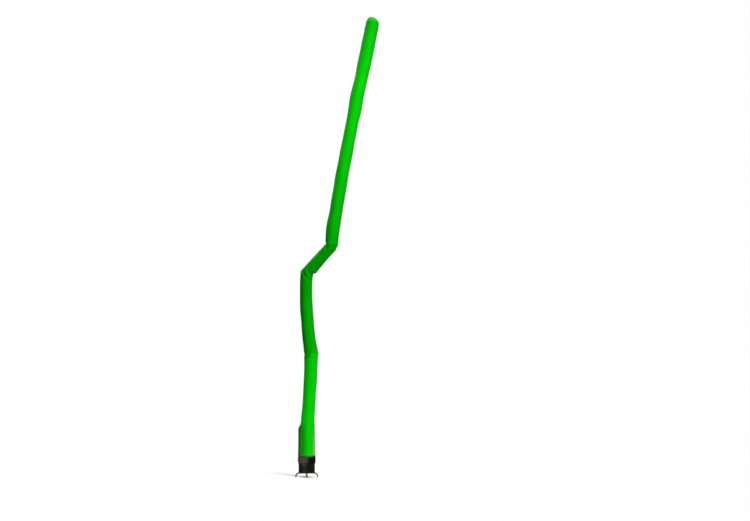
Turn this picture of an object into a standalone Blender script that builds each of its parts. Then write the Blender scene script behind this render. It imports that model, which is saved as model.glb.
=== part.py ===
"""A tall inflated cloth tube on a wider foot sleeve, kinked in three places, on a round blower.

Metres, +Z up. +X is to the right as the tube is seen from the front, and +Y points away from the
viewer. Every size below is measured from the point on the ground under the middle of the blower.
The whole is then moved so that the origin is under the middle of everything seen from above.
"""

import math

import bmesh
import bpy
import numpy as np
from mathutils import Vector

# Driving dimensions ------------------------------------------------------------------------------

TOTAL_HEIGHT = 9.144
FIT_GAP = 0.0003

# Cloth
CLOTH_THICK = 0.0010
CUFF_THICK = 0.0020
CLOSING_THICK = 0.0020
TUBE_SIDES = 24
CUFF_SIDES = 48
CUFF_WAVES = 12

# Blower drum
DRUM_RADIUS = 0.159
DRUM_WALL = 0.003
DRUM_BOTTOM = 0.093
DRUM_TOP = 0.385
DRUM_SIDES = 48
BEAD_OUT = 0.0025
BEAD_TALL = 0.012
MIDDLE_BEAD = 0.246

# Stand
ROD_RADIUS = 0.014
LEG_REACH = 0.210
LEG_BEND = 0.068
LEG_TURN = math.radians(4.0)
LEG_NAMES = ("right", "back", "left", "front")
HUB_ACROSS_FLATS = 0.072
HUB_HEIGHT = 0.024

# Intake guard: a flat ring inside the drum's lower edge, and the bars that lie on it
RING_WIDTH = 0.0127
RING_THICK = 0.003
BAR_RADIUS = 0.004
BAR_COUNT = 7
BAR_PITCH = 0.038

# Cable gland, on the middle of one flat of the drum's back
GLAND_TURN = math.radians(93.75)
GLAND_HEIGHT = 0.150

# The cloth's middle line and radius, a row for each place where its course changes. The line is
# smooth within a run and breaks at the kink between two runs. The first rows are the foot sleeve.
# run, height, across, depth, radius
TUBE_ROWS = (
    (1, 0.378, 0.000, 0.000, 0.1650),
    (1, 0.577, 0.000, 0.000, 0.1640),
    (1, 0.789, -0.002, 0.000, 0.1600),
    (1, 0.928, -0.001, 0.000, 0.1545),
    (1, 1.010, 0.015, 0.000, 0.1365),
    (1, 1.175, 0.021, 0.005, 0.1300),
    (1, 1.408, 0.038, 0.010, 0.1245),
    (1, 1.718, 0.054, 0.020, 0.1255),
    (1, 2.029, 0.070, 0.040, 0.1300),
    (1, 2.381, 0.080, 0.060, 0.1360),
    (2, 2.381, 0.080, 0.060, 0.1360),
    (2, 2.732, 0.028, 0.030, 0.1255),
    (2, 3.084, -0.004, 0.000, 0.1260),
    (2, 3.434, -0.021, -0.040, 0.1205),
    (2, 3.760, -0.021, -0.105, 0.1205),
    (2, 3.947, -0.008, -0.140, 0.1240),
    (3, 3.947, -0.008, -0.140, 0.1240),
    (3, 4.210, 0.241, -0.250, 0.1170),
    (3, 4.470, 0.488, -0.360, 0.1160),
    (4, 4.470, 0.488, -0.360, 0.1190),
    (4, 4.690, 0.500, -0.358, 0.1290),
    (4, 5.214, 0.576, -0.320, 0.1265),
    (4, 6.175, 0.737, -0.220, 0.1265),
    (4, 6.825, 0.855, -0.140, 0.1225),
    (4, 7.140, 0.918, -0.096, 0.1275),
    (4, 7.402, 0.956, -0.060, 0.1345),
    (4, 7.780, 1.035, -0.005, 0.1285),
    (4, 8.445, 1.172, 0.080, 0.1370),
    (4, 8.740, 1.229, 0.120, 0.1330),
    (4, 8.990, 1.271, 0.148, 0.1310),
)

# Folds are soft ridges (rise above 0) or troughs (below 0) lying on the tube. "along" is measured
# up the tube from the named place, "around" is the angle from +X towards +Y, and "slant" tilts the
# fold from level (0) towards running up the tube (90).
# place, along, around, slant, half length, half width, rise
FOLD_ROWS = (
    ("knee", 0.000, 180, 0, 0.110, 0.034, -0.008),
    ("knee", 0.000, 0, 0, 0.110, 0.050, 0.005),
    ("knee", 0.165, 276, 60, 0.100, 0.028, 0.007),
    ("knee", 0.030, 252, 57, 0.110, 0.030, -0.015),
    ("knee", -0.010, 268, 57, 0.090, 0.030, 0.010),
    ("knee", -0.040, 306, 20, 0.070, 0.030, 0.006),
    ("knee", 0.000, 90, -50, 0.110, 0.030, -0.012),
    ("elbow", 0.062, 350, 0, 0.120, 0.042, -0.025),
    ("elbow", 0.150, 350, 0, 0.090, 0.036, 0.007),
    ("elbow", 0.030, 273, -41, 0.110, 0.026, 0.012),
    ("elbow", 0.095, 268, -41, 0.110, 0.028, -0.012),
    ("elbow", -0.040, 262, -41, 0.100, 0.028, -0.010),
    ("elbow", -0.020, 309, 60, 0.060, 0.028, 0.008),
    ("elbow", 0.000, 175, 0, 0.100, 0.040, 0.004),
    ("elbow", 0.000, 80, 25, 0.120, 0.032, -0.014),
    ("shoulder", -0.015, 180, 0, 0.100, 0.026, -0.009),
    ("shoulder", 0.085, 180, 0, 0.100, 0.050, 0.007),
    ("shoulder", 0.000, 355, 0, 0.100, 0.036, -0.016),
    ("shoulder", 0.030, 276, 84, 0.110, 0.030, -0.018),
    ("shoulder", 0.040, 300, 84, 0.100, 0.028, 0.010),
    ("shoulder", 0.060, 322, 84, 0.100, 0.030, -0.016),
    ("shoulder", 0.020, 250, 30, 0.060, 0.030, 0.010),
    ("shoulder", -0.080, 240, -25, 0.110, 0.030, -0.012),
    ("shoulder", -0.240, 265, 80, 0.070, 0.030, -0.006),
    ("shoulder", 0.000, 95, -60, 0.110, 0.030, -0.012),
    ("top", 0.088, 0, 0, 0.034, 0.022, 0.008),
    ("top", -0.085, 0, 0, 0.070, 0.040, 0.005),
    ("top", -0.115, 182, 0, 0.060, 0.028, 0.006),
)
FOLD_GIRTH = 0.125

# How far from a kink the rings lean over towards its mitre, and how close together rings stand
KINK_REACH = 0.140
NEAR_STEP = 0.032
FAR_STEP = 0.130
STEP_GROWTH = 0.30
LEDGE_DISTANCE = 0.60

# The seam above the ledge, where the tube's lower edge is lapped inside the sleeve's upper one
SEAM_DISTANCE = 0.640
SEAM_LAP = 0.020

# The closed top: a slightly pointed dome on the last ring, a little fuller on its right
DOME_RINGS = 7
DOME_TOP = (1.244, 0.160)
LEFT_SQUARE = 1.5
RIGHT_SQUARE = 1.8

# The dark strip sewn on the left of the foot
CLOSING_BOTTOM = 0.412
CLOSING_TOP = 0.950
CLOSING_SIDES = (10, 16)

# height, radius and gather of the cuff, from its drawn-in lower hem to its top edge
CUFF_ROWS = (
    (0.260, 0.1616, 0.0000),
    (0.266, 0.1618, 0.0002),
    (0.275, 0.1648, 0.0016),
    (0.288, 0.1672, 0.0016),
    (0.310, 0.1686, 0.0010),
    (0.340, 0.1690, 0.0006),
    (0.368, 0.1685, 0.0003),
    (0.385, 0.1678, 0.0000),
    (0.407, 0.1676, 0.0000),
)


# Scene and materials -----------------------------------------------------------------------------


def clear_scene():
    for old in list(bpy.data.objects):
        bpy.data.objects.remove(old, do_unlink=True)


def finish_material(name, colour, roughness, metallic=0.0):
    material = bpy.data.materials.new(name)
    material.use_nodes = True
    shader = material.node_tree.nodes["Principled BSDF"]
    shader.inputs["Base Color"].default_value = (*colour, 1.0)
    shader.inputs["Roughness"].default_value = roughness
    shader.inputs["Metallic"].default_value = metallic
    material.diffuse_color = (*colour, 1.0)
    return material


def add_object(name, mesh, material, parent, smooth_angle=math.radians(40)):
    mesh.shade_smooth()
    mesh.set_sharp_from_angle(angle=smooth_angle)
    mesh.materials.append(material)
    made = bpy.data.objects.new(name, mesh)
    bpy.context.scene.collection.objects.link(made)
    made.parent = parent
    return made


def mesh_from_points(name, points, faces):
    mesh = bpy.data.meshes.new(name)
    mesh.from_pydata([tuple(p) for p in points], [], [tuple(f) for f in faces])
    mesh.validate()
    return mesh


def thicken(made, thickness, outwards=False):
    """Gives an open cloth surface its thickness and closes its edges."""
    wall = made.modifiers.new("cloth thickness", "SOLIDIFY")
    wall.thickness = thickness
    wall.offset = 1.0 if outwards else -1.0
    wall.use_even_offset = True
    wall.use_rim = True


def turned_mesh(name, profile, sides):
    """A closed outline of (radius, height) points, spun once round the Z axis."""
    shape = bmesh.new()
    corners = [shape.verts.new((radius, 0.0, height)) for radius, height in profile]
    edges = [shape.edges.new((a, b)) for a, b in zip(corners, corners[1:] + corners[:1])]
    bmesh.ops.spin(
        shape,
        geom=corners + edges,
        axis=(0, 0, 1),
        cent=(0, 0, 0),
        angle=math.tau,
        steps=sides,
        use_merge=True,
    )
    bmesh.ops.recalc_face_normals(shape, faces=shape.faces)
    mesh = bpy.data.meshes.new(name)
    shape.to_mesh(mesh)
    shape.free()
    return mesh


# The tube's course -------------------------------------------------------------------------------


def smooth_through(places, values, at):
    """Cubic pieces through the values, each end taking the slope of the chord across it."""
    slopes = np.gradient(values, places, axis=0)
    i = np.clip(np.searchsorted(places, at, side="right") - 1, 0, len(places) - 2)
    span = (places[i + 1] - places[i])[:, None]
    t = (at[:, None] - places[i][:, None]) / span
    start = (2 * t**3 - 3 * t**2 + 1) * values[i] + (t**3 - 2 * t**2 + t) * span * slopes[i]
    end = (3 * t**2 - 2 * t**3) * values[i + 1] + (t**3 - t**2) * span * slopes[i + 1]
    return start + end


def unit(vectors):
    return vectors / np.linalg.norm(vectors, axis=-1, keepdims=True)


def run_rows(run):
    """(distance of each row along the run, its across, depth, height and radius)"""
    rows = np.array([(x, y, z, radius) for r, z, x, y, radius in TUBE_ROWS if r == run])
    steps = np.linalg.norm(np.diff(rows[:, :3], axis=0), axis=1)
    return np.concatenate([[0.0], np.cumsum(steps)]), rows


def course():
    """The run starts along the tube, and each run's rows: knee, elbow, shoulder and top follow."""
    runs = [run_rows(run) for run in (1, 2, 3, 4)]
    starts = np.concatenate([[0.0], np.cumsum([places[-1] for places, _ in runs])])
    return starts, runs


def course_at(distances, starts, runs):
    """Middle, direction and radius at distances along the tube; a kink belongs to the run below."""
    which = np.clip(np.searchsorted(starts, distances, side="left") - 1, 0, len(runs) - 1)
    middle = np.zeros((len(distances), 3))
    ahead = np.zeros((len(distances), 3))
    radius = np.zeros(len(distances))
    tiny = 1e-4
    for k, (places, rows) in enumerate(runs):
        mine = which == k
        here = np.clip(distances[mine] - starts[k], 0.0, places[-1])
        low = np.clip(here - tiny, 0.0, places[-1])
        high = np.clip(here + tiny, 0.0, places[-1])
        found = smooth_through(places, rows, here)
        middle[mine] = found[:, :3]
        radius[mine] = found[:, 3]
        rise = smooth_through(places, rows, high) - smooth_through(places, rows, low)
        ahead[mine] = unit(rise[:, :3])
    return middle, ahead, radius


def ring_distances(starts):
    """Where rings stand: NEAR_STEP apart at a kink, the ledge and the top, wider further away."""
    special = np.array([starts[0], LEDGE_DISTANCE, *starts[1:]])
    kept = [np.array([0.0])]
    for low, high in zip(starts[:-1], starts[1:]):
        fine = np.linspace(low, high, 800)
        nearest = np.abs(fine[:, None] - special[None, :]).min(axis=1)
        step = np.minimum(FAR_STEP, NEAR_STEP + STEP_GROWTH * nearest)
        count = np.concatenate([[0.0], np.cumsum(np.diff(fine) / step[1:])])
        rings = int(math.ceil(count[-1]))
        kept.append(np.interp(np.linspace(0, count[-1], rings + 1)[1:], count, fine))
    return np.concatenate(kept)


def fold_relief(distances, angles, starts):
    """How far the folds push the cloth out, for each ring and side.

    A fold's rise falls off as a bell curve with the distance across it, and as a wider bell curve
    with the distance along it, both measured on the unrolled tube.
    """
    place = dict(zip(("foot", "knee", "elbow", "shoulder", "top"), starts))
    relief = np.zeros((len(distances), len(angles)))
    for name, along, around, slant, half_length, half_width, rise in FOLD_ROWS:
        turn = (angles - math.radians(around) + math.pi) % math.tau - math.pi
        sideways = (turn * FOLD_GIRTH)[None, :]
        upwards = (distances - place[name] - along)[:, None]
        c, s = math.cos(math.radians(slant)), math.sin(math.radians(slant))
        lengthwise = sideways * c + upwards * s
        across = upwards * c - sideways * s
        relief += rise * np.exp(-((lengthwise / half_length) ** 2) - (across / half_width) ** 2)
    return relief


def swept(middle, ahead, tilt, radii, angles):
    """Rings of points: a circle square to the run, each point slid along the run to the ring's
    own tilted plane, so that two runs meet in a mitre."""
    right = unit(np.cross((0.0, 1.0, 0.0), ahead))
    back = np.cross(ahead, right)
    spoke = (
        np.cos(angles)[None, :, None] * right[:, None, :]
        + np.sin(angles)[None, :, None] * back[:, None, :]
    ) * radii[:, :, None]
    slide = np.einsum("rsk,rk->rs", spoke, tilt) / np.einsum("rk,rk->r", ahead, tilt)[:, None]
    return middle[:, None, :] + spoke - ahead[:, None, :] * slide[:, :, None]


def cloth_rings(distances, angles, inset):
    """Rings of points at distances up the tube, drawn in by their insets, and the top ring's
    middle, tilt and radius."""
    starts, runs = course()
    middle, ahead, radius = course_at(distances, starts, runs)
    offsets = (np.arange(14) - 6.5) / 6.5 * KINK_REACH
    around_ring = np.clip(distances[:, None] + offsets, 0.0, starts[-1])
    tilt = course_at(around_ring.ravel(), starts, runs)[1].reshape(len(distances), -1, 3)
    tilt = unit(tilt.mean(axis=1))
    radii = (radius - inset)[:, None] + fold_relief(distances, angles, starts)
    return swept(middle, ahead, tilt, radii, angles), middle[-1], tilt[-1], radius[-1]


def sleeve_and_tube():
    """Distances of the foot sleeve's rings and of the tube's: both have rings at the lap's ends."""
    distances = ring_distances(course()[0])
    lap = [SEAM_DISTANCE - SEAM_LAP, SEAM_DISTANCE]
    below = distances[distances < lap[0] - NEAR_STEP / 2]
    above = distances[distances > lap[1] + NEAR_STEP / 2]
    return np.concatenate([below, lap]), np.concatenate([lap, above])


def dome_rings(angles, last, tilt, radius):
    """A ring's radius falls with its rise as (1 - rise^n)^(1/n), with n from left to right."""
    starts = course()[0]
    quarter = np.linspace(0.0, math.pi / 2, DOME_RINGS + 1)[1:-1]
    climb = np.sin(quarter) ** (2 / RIGHT_SQUARE)
    square = LEFT_SQUARE + (RIGHT_SQUARE - LEFT_SQUARE) * (1 + np.cos(angles)) / 2
    shrink = (1 - climb[:, None] ** square) ** (1 / square)
    tip = np.array([*DOME_TOP, TOTAL_HEIGHT])
    centres = last + climb[:, None] * (tip - last)
    planes = unit(tilt + climb[:, None] ** 0.5 * (np.array([0.0, 0.0, 1.0]) - tilt))
    beyond = starts[-1] + climb * (TOTAL_HEIGHT - last[2])
    radii = (radius + fold_relief(beyond, angles, starts)) * shrink
    return swept(centres, planes, planes, radii, angles), tip


def ring_faces(rings, sides, closed=True):
    """Two triangles for each cell between neighbouring rings, facing out."""
    ring = np.arange(rings - 1)[:, None] * sides
    side = np.arange(sides if closed else sides - 1)[None, :]
    after = (side + 1) % sides
    a, b = ring + side, ring + after
    c, d = b + sides, a + sides
    lower = np.stack([a, b, c], axis=-1).reshape(-1, 3)
    upper = np.stack([a, c, d], axis=-1).reshape(-1, 3)
    return np.concatenate([lower, upper])


# Cloth pieces ------------------------------------------------------------------------------------


def add_sleeve(material, parent):
    """The wide foot, open at both ends."""
    distances = sleeve_and_tube()[0]
    angles = np.arange(TUBE_SIDES) * math.tau / TUBE_SIDES
    rings = cloth_rings(distances, angles, np.zeros(len(distances)))[0]
    faces = ring_faces(len(rings), TUBE_SIDES)
    mesh = mesh_from_points("foot_sleeve", rings.reshape(-1, 3), faces)
    thicken(add_object("foot_sleeve", mesh, material, parent), CLOTH_THICK)
    return rings


def add_tube(material, parent):
    """The long tube, open at its foot, where it stands one fit gap inside the sleeve's cloth."""
    distances = sleeve_and_tube()[1]
    angles = np.arange(TUBE_SIDES) * math.tau / TUBE_SIDES
    inset = np.where(distances <= SEAM_DISTANCE, CLOTH_THICK + FIT_GAP, 0.0)
    body, *top = cloth_rings(distances, angles, inset)
    dome, tip = dome_rings(angles, *top)
    rings = np.concatenate([body, dome])
    points = np.concatenate([rings.reshape(-1, 3), tip[None, :]])
    last = (len(rings) - 1) * TUBE_SIDES + np.arange(TUBE_SIDES)
    fan = np.stack([last, np.roll(last, -1), np.full(TUBE_SIDES, len(points) - 1)], axis=1)
    faces = np.concatenate([ring_faces(len(rings), TUBE_SIDES), fan])
    mesh = mesh_from_points("dancer_tube", points, faces)
    tube = add_object("dancer_tube", mesh, material, parent)
    thicken(tube, CLOTH_THICK)
    return rings


def add_side_closing(rings, material, parent):
    """A doubled strip that follows the foot's own rings and sides, one fit gap proud of them."""
    heights = rings[:, :, 2].mean(axis=1)
    between = heights[(heights > CLOSING_BOTTOM) & (heights < CLOSING_TOP)]
    levels = np.concatenate([[CLOSING_BOTTOM], between, [CLOSING_TOP]])
    below = np.searchsorted(heights, levels, side="right") - 1
    share = (levels - heights[below]) / (heights[below + 1] - heights[below])
    level_rings = rings[below] + share[:, None, None] * (rings[below + 1] - rings[below])
    middle = level_rings.mean(axis=1, keepdims=True)
    first, last = CLOSING_SIDES
    patch = level_rings[:, first : last + 1]
    proud = patch + unit((patch - middle) * (1, 1, 0)) * (FIT_GAP * 1.2)
    sides = last - first + 1
    mesh = mesh_from_points(
        "side_closing", proud.reshape(-1, 3), ring_faces(len(proud), sides, closed=False)
    )
    thicken(add_object("side_closing", mesh, material, parent), CLOSING_THICK, outwards=True)


def add_cuff(material, parent):
    """A band whose gathers are even waves, deepest just above its drawn-in hem."""
    angles = np.arange(CUFF_SIDES) * math.tau / CUFF_SIDES
    height, radius, gather = np.array(CUFF_ROWS).T
    radii = radius[:, None] + gather[:, None] * np.cos(CUFF_WAVES * angles)[None, :]
    x = radii * np.cos(angles)
    y = radii * np.sin(angles)
    z = np.broadcast_to(height[:, None], x.shape)
    points = np.stack([x, y, z], axis=-1).reshape(-1, 3)
    mesh = mesh_from_points("foot_cuff", points, ring_faces(len(CUFF_ROWS), CUFF_SIDES))
    thicken(add_object("foot_cuff", mesh, material, parent), CUFF_THICK)


# Blower ------------------------------------------------------------------------------------------


def bead(bottom):
    """Outline points of one rolled bead on the drum's outside, from its lower edge up."""
    return [
        (DRUM_RADIUS, bottom),
        (DRUM_RADIUS + BEAD_OUT, bottom + 0.3 * BEAD_TALL),
        (DRUM_RADIUS + BEAD_OUT, bottom + 0.7 * BEAD_TALL),
        (DRUM_RADIUS, bottom + BEAD_TALL),
    ]


def add_drum(material, parent):
    inside = DRUM_RADIUS - DRUM_WALL
    profile = (
        bead(DRUM_BOTTOM)
        + bead(MIDDLE_BEAD - BEAD_TALL / 2)
        + bead(DRUM_TOP - BEAD_TALL)
        + [(inside, DRUM_TOP), (inside, DRUM_BOTTOM)]
    )
    add_object("blower_drum", turned_mesh("blower_drum", profile, DRUM_SIDES), material, parent)


def add_intake_ring(material, parent):
    """The guard's ring has as many sides as the drum and stands one fit gap inside its wall."""
    outside = DRUM_RADIUS - DRUM_WALL - FIT_GAP / math.cos(math.pi / DRUM_SIDES)
    inside = outside - RING_WIDTH
    top = DRUM_BOTTOM + RING_THICK
    profile = [(outside, DRUM_BOTTOM), (outside, top), (inside, top), (inside, DRUM_BOTTOM)]
    add_object("intake_ring", turned_mesh("intake_ring", profile, DRUM_SIDES), material, parent)


def add_intake_bars(material, parent):
    """Level bars lying on the guard's ring, each as long as the drum lets it be there."""
    inside = (DRUM_RADIUS - DRUM_WALL) * math.cos(math.pi / DRUM_SIDES)
    height = DRUM_BOTTOM + RING_THICK + FIT_GAP + BAR_RADIUS
    for k in range(BAR_COUNT):
        depth = (k - (BAR_COUNT - 1) / 2) * BAR_PITCH
        half = math.sqrt(inside**2 - (abs(depth) + BAR_RADIUS) ** 2) - FIT_GAP
        shape = bmesh.new()
        bmesh.ops.create_cone(
            shape, cap_ends=True, segments=12, radius1=BAR_RADIUS, radius2=BAR_RADIUS, depth=2 * half
        )
        mesh = bpy.data.meshes.new(f"intake_bar_{k + 1}")
        shape.to_mesh(mesh)
        shape.free()
        bar = add_object(f"intake_bar_{k + 1}", mesh, material, parent)
        bar.location = (0.0, depth, height)
        bar.rotation_euler = (0.0, math.pi / 2, 0.0)


def add_stand(material, parent):
    """A flat-sided hub, and four rods that run out under the drum and bend down to the ground."""
    rod_height = DRUM_BOTTOM - FIT_GAP - ROD_RADIUS
    hub_shape = bmesh.new()
    corner = HUB_ACROSS_FLATS / 2 / math.cos(math.pi / 8)
    bmesh.ops.create_cone(
        hub_shape, cap_ends=True, segments=8, radius1=corner, radius2=corner, depth=HUB_HEIGHT
    )
    hub_mesh = bpy.data.meshes.new("stand_hub")
    hub_shape.to_mesh(hub_mesh)
    hub_shape.free()
    hub = add_object("stand_hub", hub_mesh, material, parent, math.radians(20))
    hub.location = (0.0, 0.0, rod_height)
    hub.rotation_euler = (0.0, 0.0, LEG_TURN + math.pi / 8)
    softened = hub.modifiers.new("softened edges", "BEVEL")
    softened.width = 0.002
    softened.segments = 2

    turn = np.linspace(0.0, math.pi / 2, 7)
    bend_start = LEG_REACH - LEG_BEND
    out = np.concatenate(
        [[HUB_ACROSS_FLATS / 2 + FIT_GAP, 0.10], bend_start + LEG_BEND * np.sin(turn), [LEG_REACH]]
    )
    up = np.concatenate([[rod_height] * 2, rod_height - LEG_BEND * (1 - np.cos(turn)), [0.0]])
    for k, side in enumerate(LEG_NAMES):
        curve = bpy.data.curves.new(f"stand_leg_{side}", "CURVE")
        curve.dimensions = "3D"
        curve.bevel_depth = ROD_RADIUS
        curve.bevel_resolution = 4
        curve.use_fill_caps = True
        spline = curve.splines.new("POLY")
        spline.points.add(len(out) - 1)
        for point, distance, height in zip(spline.points, out, up):
            point.co = (distance, 0.0, height, 1.0)
        curve.materials.append(material)
        leg = bpy.data.objects.new(f"stand_leg_{side}", curve)
        bpy.context.scene.collection.objects.link(leg)
        leg.parent = parent
        leg.rotation_euler = (0.0, 0.0, LEG_TURN + k * math.pi / 2)


def add_gland(material, parent):
    """A flanged sleeve with a through hole, square to one flat of the drum's back."""
    hole, body, flange = 0.0035, 0.0070, 0.0095
    profile = [
        (hole, 0.0),
        (flange, 0.0),
        (flange, 0.003),
        (body, 0.004),
        (body, 0.014),
        (0.8 * body, 0.018),
        (hole, 0.018),
    ]
    gland = add_object("cable_gland", turned_mesh("cable_gland", profile, 24), material, parent)
    out = DRUM_RADIUS * math.cos(math.pi / DRUM_SIDES) + FIT_GAP
    away = Vector((math.cos(GLAND_TURN), math.sin(GLAND_TURN), 0.0))
    gland.location = away * out + Vector((0.0, 0.0, GLAND_HEIGHT))
    gland.rotation_mode = "QUATERNION"
    gland.rotation_quaternion = away.to_track_quat("Z", "Y")


def middle_from_above(rings):
    """Middle of the box round the tube's rings and the four feet."""
    reach = LEG_REACH * math.cos(LEG_TURN) + ROD_RADIUS
    low = np.minimum(rings.min(axis=(0, 1))[:2], -reach)
    high = np.maximum(rings.max(axis=(0, 1))[:2], reach)
    return (low + high) / 2


def main():
    clear_scene()
    green_cloth = finish_material("green coated nylon", (0.01, 0.55, 0.01), 0.42)
    dark_cloth = finish_material("dark olive cloth", (0.03, 0.045, 0.015), 0.75)
    black_cloth = finish_material("black cloth", (0.02, 0.02, 0.02), 0.80)
    black_steel = finish_material("black painted steel", (0.015, 0.014, 0.014), 0.45)
    grey_steel = finish_material("grey coated steel", (0.16, 0.16, 0.15), 0.40, 0.6)
    black_plastic = finish_material("black plastic", (0.02, 0.02, 0.02), 0.50)

    whole = bpy.data.objects.new("air_dancer", None)
    bpy.context.scene.collection.objects.link(whole)
    sleeve = add_sleeve(green_cloth, whole)
    rings = add_tube(green_cloth, whole)
    add_side_closing(sleeve, dark_cloth, whole)
    add_cuff(black_cloth, whole)
    add_drum(black_steel, whole)
    add_intake_ring(black_steel, whole)
    add_intake_bars(black_steel, whole)
    add_stand(grey_steel, whole)
    add_gland(black_plastic, whole)

    across, depth = middle_from_above(rings)
    whole.location = (-across, -depth, 0.0)


main()
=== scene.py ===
# %% [markdown]
# # An inflated cloth dancer on its blower
#
# The real object is one tall tube of thin green nylon, sewn to a wider foot sleeve. A fan in a
# black steel drum blows air into the open foot, and the tube stands up and buckles over. This
# lesson dresses the imported frame with the finished cloth, the sewing and the blower, in this order:
#
# 1. the frame, the camera, the light and the floor
# 2. helpers: shader maths, and meshes from grids of points
# 3. the tube's course, its folds, and the cloth itself
# 4. what is sewn to it: seams, hem, side strip and cuff
# 5. the drum, the stand and the cable gland

# %% [markdown]
# ## The frame
# The imported solids come in first, in metres, each at its real place. Nothing moves them. Every
# size below is measured from the point on the ground under the middle of the drum, so that point
# is read from the frame once, and each new mesh is shifted by it.

# %% Load the frame
import math

import bpy
import numpy as np
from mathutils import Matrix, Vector


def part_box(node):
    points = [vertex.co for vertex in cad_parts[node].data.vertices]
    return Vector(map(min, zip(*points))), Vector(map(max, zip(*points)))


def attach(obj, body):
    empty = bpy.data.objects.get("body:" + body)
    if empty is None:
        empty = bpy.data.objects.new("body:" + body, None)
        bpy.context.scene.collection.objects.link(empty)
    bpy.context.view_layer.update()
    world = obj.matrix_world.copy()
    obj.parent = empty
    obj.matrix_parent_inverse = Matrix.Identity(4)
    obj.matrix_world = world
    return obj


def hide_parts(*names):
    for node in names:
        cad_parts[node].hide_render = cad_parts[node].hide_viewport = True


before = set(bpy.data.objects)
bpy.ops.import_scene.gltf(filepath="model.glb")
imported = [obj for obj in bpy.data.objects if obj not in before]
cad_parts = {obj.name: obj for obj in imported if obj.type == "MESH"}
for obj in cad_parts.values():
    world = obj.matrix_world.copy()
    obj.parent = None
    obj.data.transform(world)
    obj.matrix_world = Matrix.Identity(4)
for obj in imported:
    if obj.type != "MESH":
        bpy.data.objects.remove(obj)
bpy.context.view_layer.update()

drum_low, drum_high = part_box("blower_drum")
HOME = np.array([(drum_low.x + drum_high.x) / 2, (drum_low.y + drum_high.y) / 2, 0.0])
print("packed nodes:", len(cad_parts))
print("drum stands at", HOME.round(4))

# %% [markdown]
# ## The camera
# The photograph looks at the dancer from far away and a little from below its middle, so the lens
# is long and the camera is tipped up instead of shifted.

# %% Place the camera
CAMERA_PLACE = (1.325, -26.0, 2.0)
CAMERA_PITCH = math.radians(4.867)
LENS_MM = 63.70
SENSOR_MM = 36.0


def put_in_scene(name, data):
    """A new object around a camera, a lamp or a mesh."""
    made = bpy.data.objects.new(name, data)
    bpy.context.scene.collection.objects.link(made)
    return made


camera = put_in_scene("camera", bpy.data.cameras.new("camera"))
camera.location = HOME + CAMERA_PLACE
camera.rotation_euler = (math.pi / 2 + CAMERA_PITCH, 0.0, 0.0)
camera.data.lens = LENS_MM
camera.data.sensor_width = SENSOR_MM
camera.data.clip_end = 500.0
bpy.context.scene.camera = camera
print("camera", -CAMERA_PLACE[1], "m away, tipped up", round(math.degrees(CAMERA_PITCH), 2))

# %% [markdown]
# ## Shader maths
# A finish is easier to read as an expression than as a list of links. `Number` wraps one output of
# a node, and each operator on it adds a Math node. `Nodes.add` is the one way to add any other
# node: its type, its settings, and then the values or links of its sockets.

# %% Numbers that vary over a surface


class Number:
    """One number at every point of a surface. Arithmetic on it adds Math nodes."""

    def __init__(self, nodes, socket):
        self.nodes = nodes
        self.socket = socket

    def output(self, name):
        return Number(self.nodes, self.socket.node.outputs[name])

    def maths(self, operation, *others):
        return self.nodes.add("Math", {"operation": operation}, dict(enumerate((self, *others))))

    def reflected(self, operation, other):
        return self.nodes.add("Math", {"operation": operation}, {0: other, 1: self})

    def __add__(self, other):
        return self.maths("ADD", other)

    def __sub__(self, other):
        return self.maths("SUBTRACT", other)

    def __mul__(self, other):
        return self.maths("MULTIPLY", other)

    def __truediv__(self, other):
        return self.maths("DIVIDE", other)

    def __radd__(self, other):
        return self.reflected("ADD", other)

    def __rsub__(self, other):
        return self.reflected("SUBTRACT", other)

    def __rmul__(self, other):
        return self.reflected("MULTIPLY", other)

    def __rtruediv__(self, other):
        return self.reflected("DIVIDE", other)


class Nodes:
    """A node tree, and the one method that adds a node to it."""

    def __init__(self, tree):
        self.tree = tree

    def add(self, kind, settings, inputs, output=0):
        made = self.tree.nodes.new("ShaderNode" + kind)
        for name, setting in settings.items():
            setattr(made, name, setting)
        for name, given in inputs.items():
            self.feed(made.inputs[name], given)
        return Number(self, made.outputs[output])

    def feed(self, socket, given):
        if isinstance(given, Number):
            self.tree.links.new(given.socket, socket)
        else:
            socket.default_value = given

    def ramp(self, value, low, high):
        """0 below low, 1 above high, with a soft start and end; low may be the larger."""
        inputs = {"Value": value, "From Min": low, "From Max": high}
        return self.add("MapRange", {"interpolation_type": "SMOOTHSTEP"}, inputs)

    def noise(self, where, size, detail=3.0, rough=0.5):
        """Cloudy noise, about 0 to 1, with spots of roughly the given size in metres."""
        inputs = {"Vector": where, "Scale": 1.0 / size, "Detail": detail, "Roughness": rough}
        return self.add("TexNoise", {}, inputs)

    def wave(self, value, length, start=0.0):
        """0 to 1 and back in each length of value, as a sine."""
        return (value * (math.tau / length) + start).maths("SINE") * 0.5 + 0.5

    def line(self, value, pitch, width):
        """1 on lines of this width that repeat every pitch, 0 between them."""
        from_line = (value / pitch).maths("FRACT") - 0.5
        return self.ramp(from_line.maths("ABSOLUTE"), 0.5 - width / pitch, 0.5)

    def mix(self, share, first, second):
        """A colour between two, by share."""
        sockets = {0: share, 6: first, 7: second}
        return self.add("Mix", {"data_type": "RGBA"}, sockets, output=2)


def rgb(red, green, blue):
    return (red, green, blue, 1.0)


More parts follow.
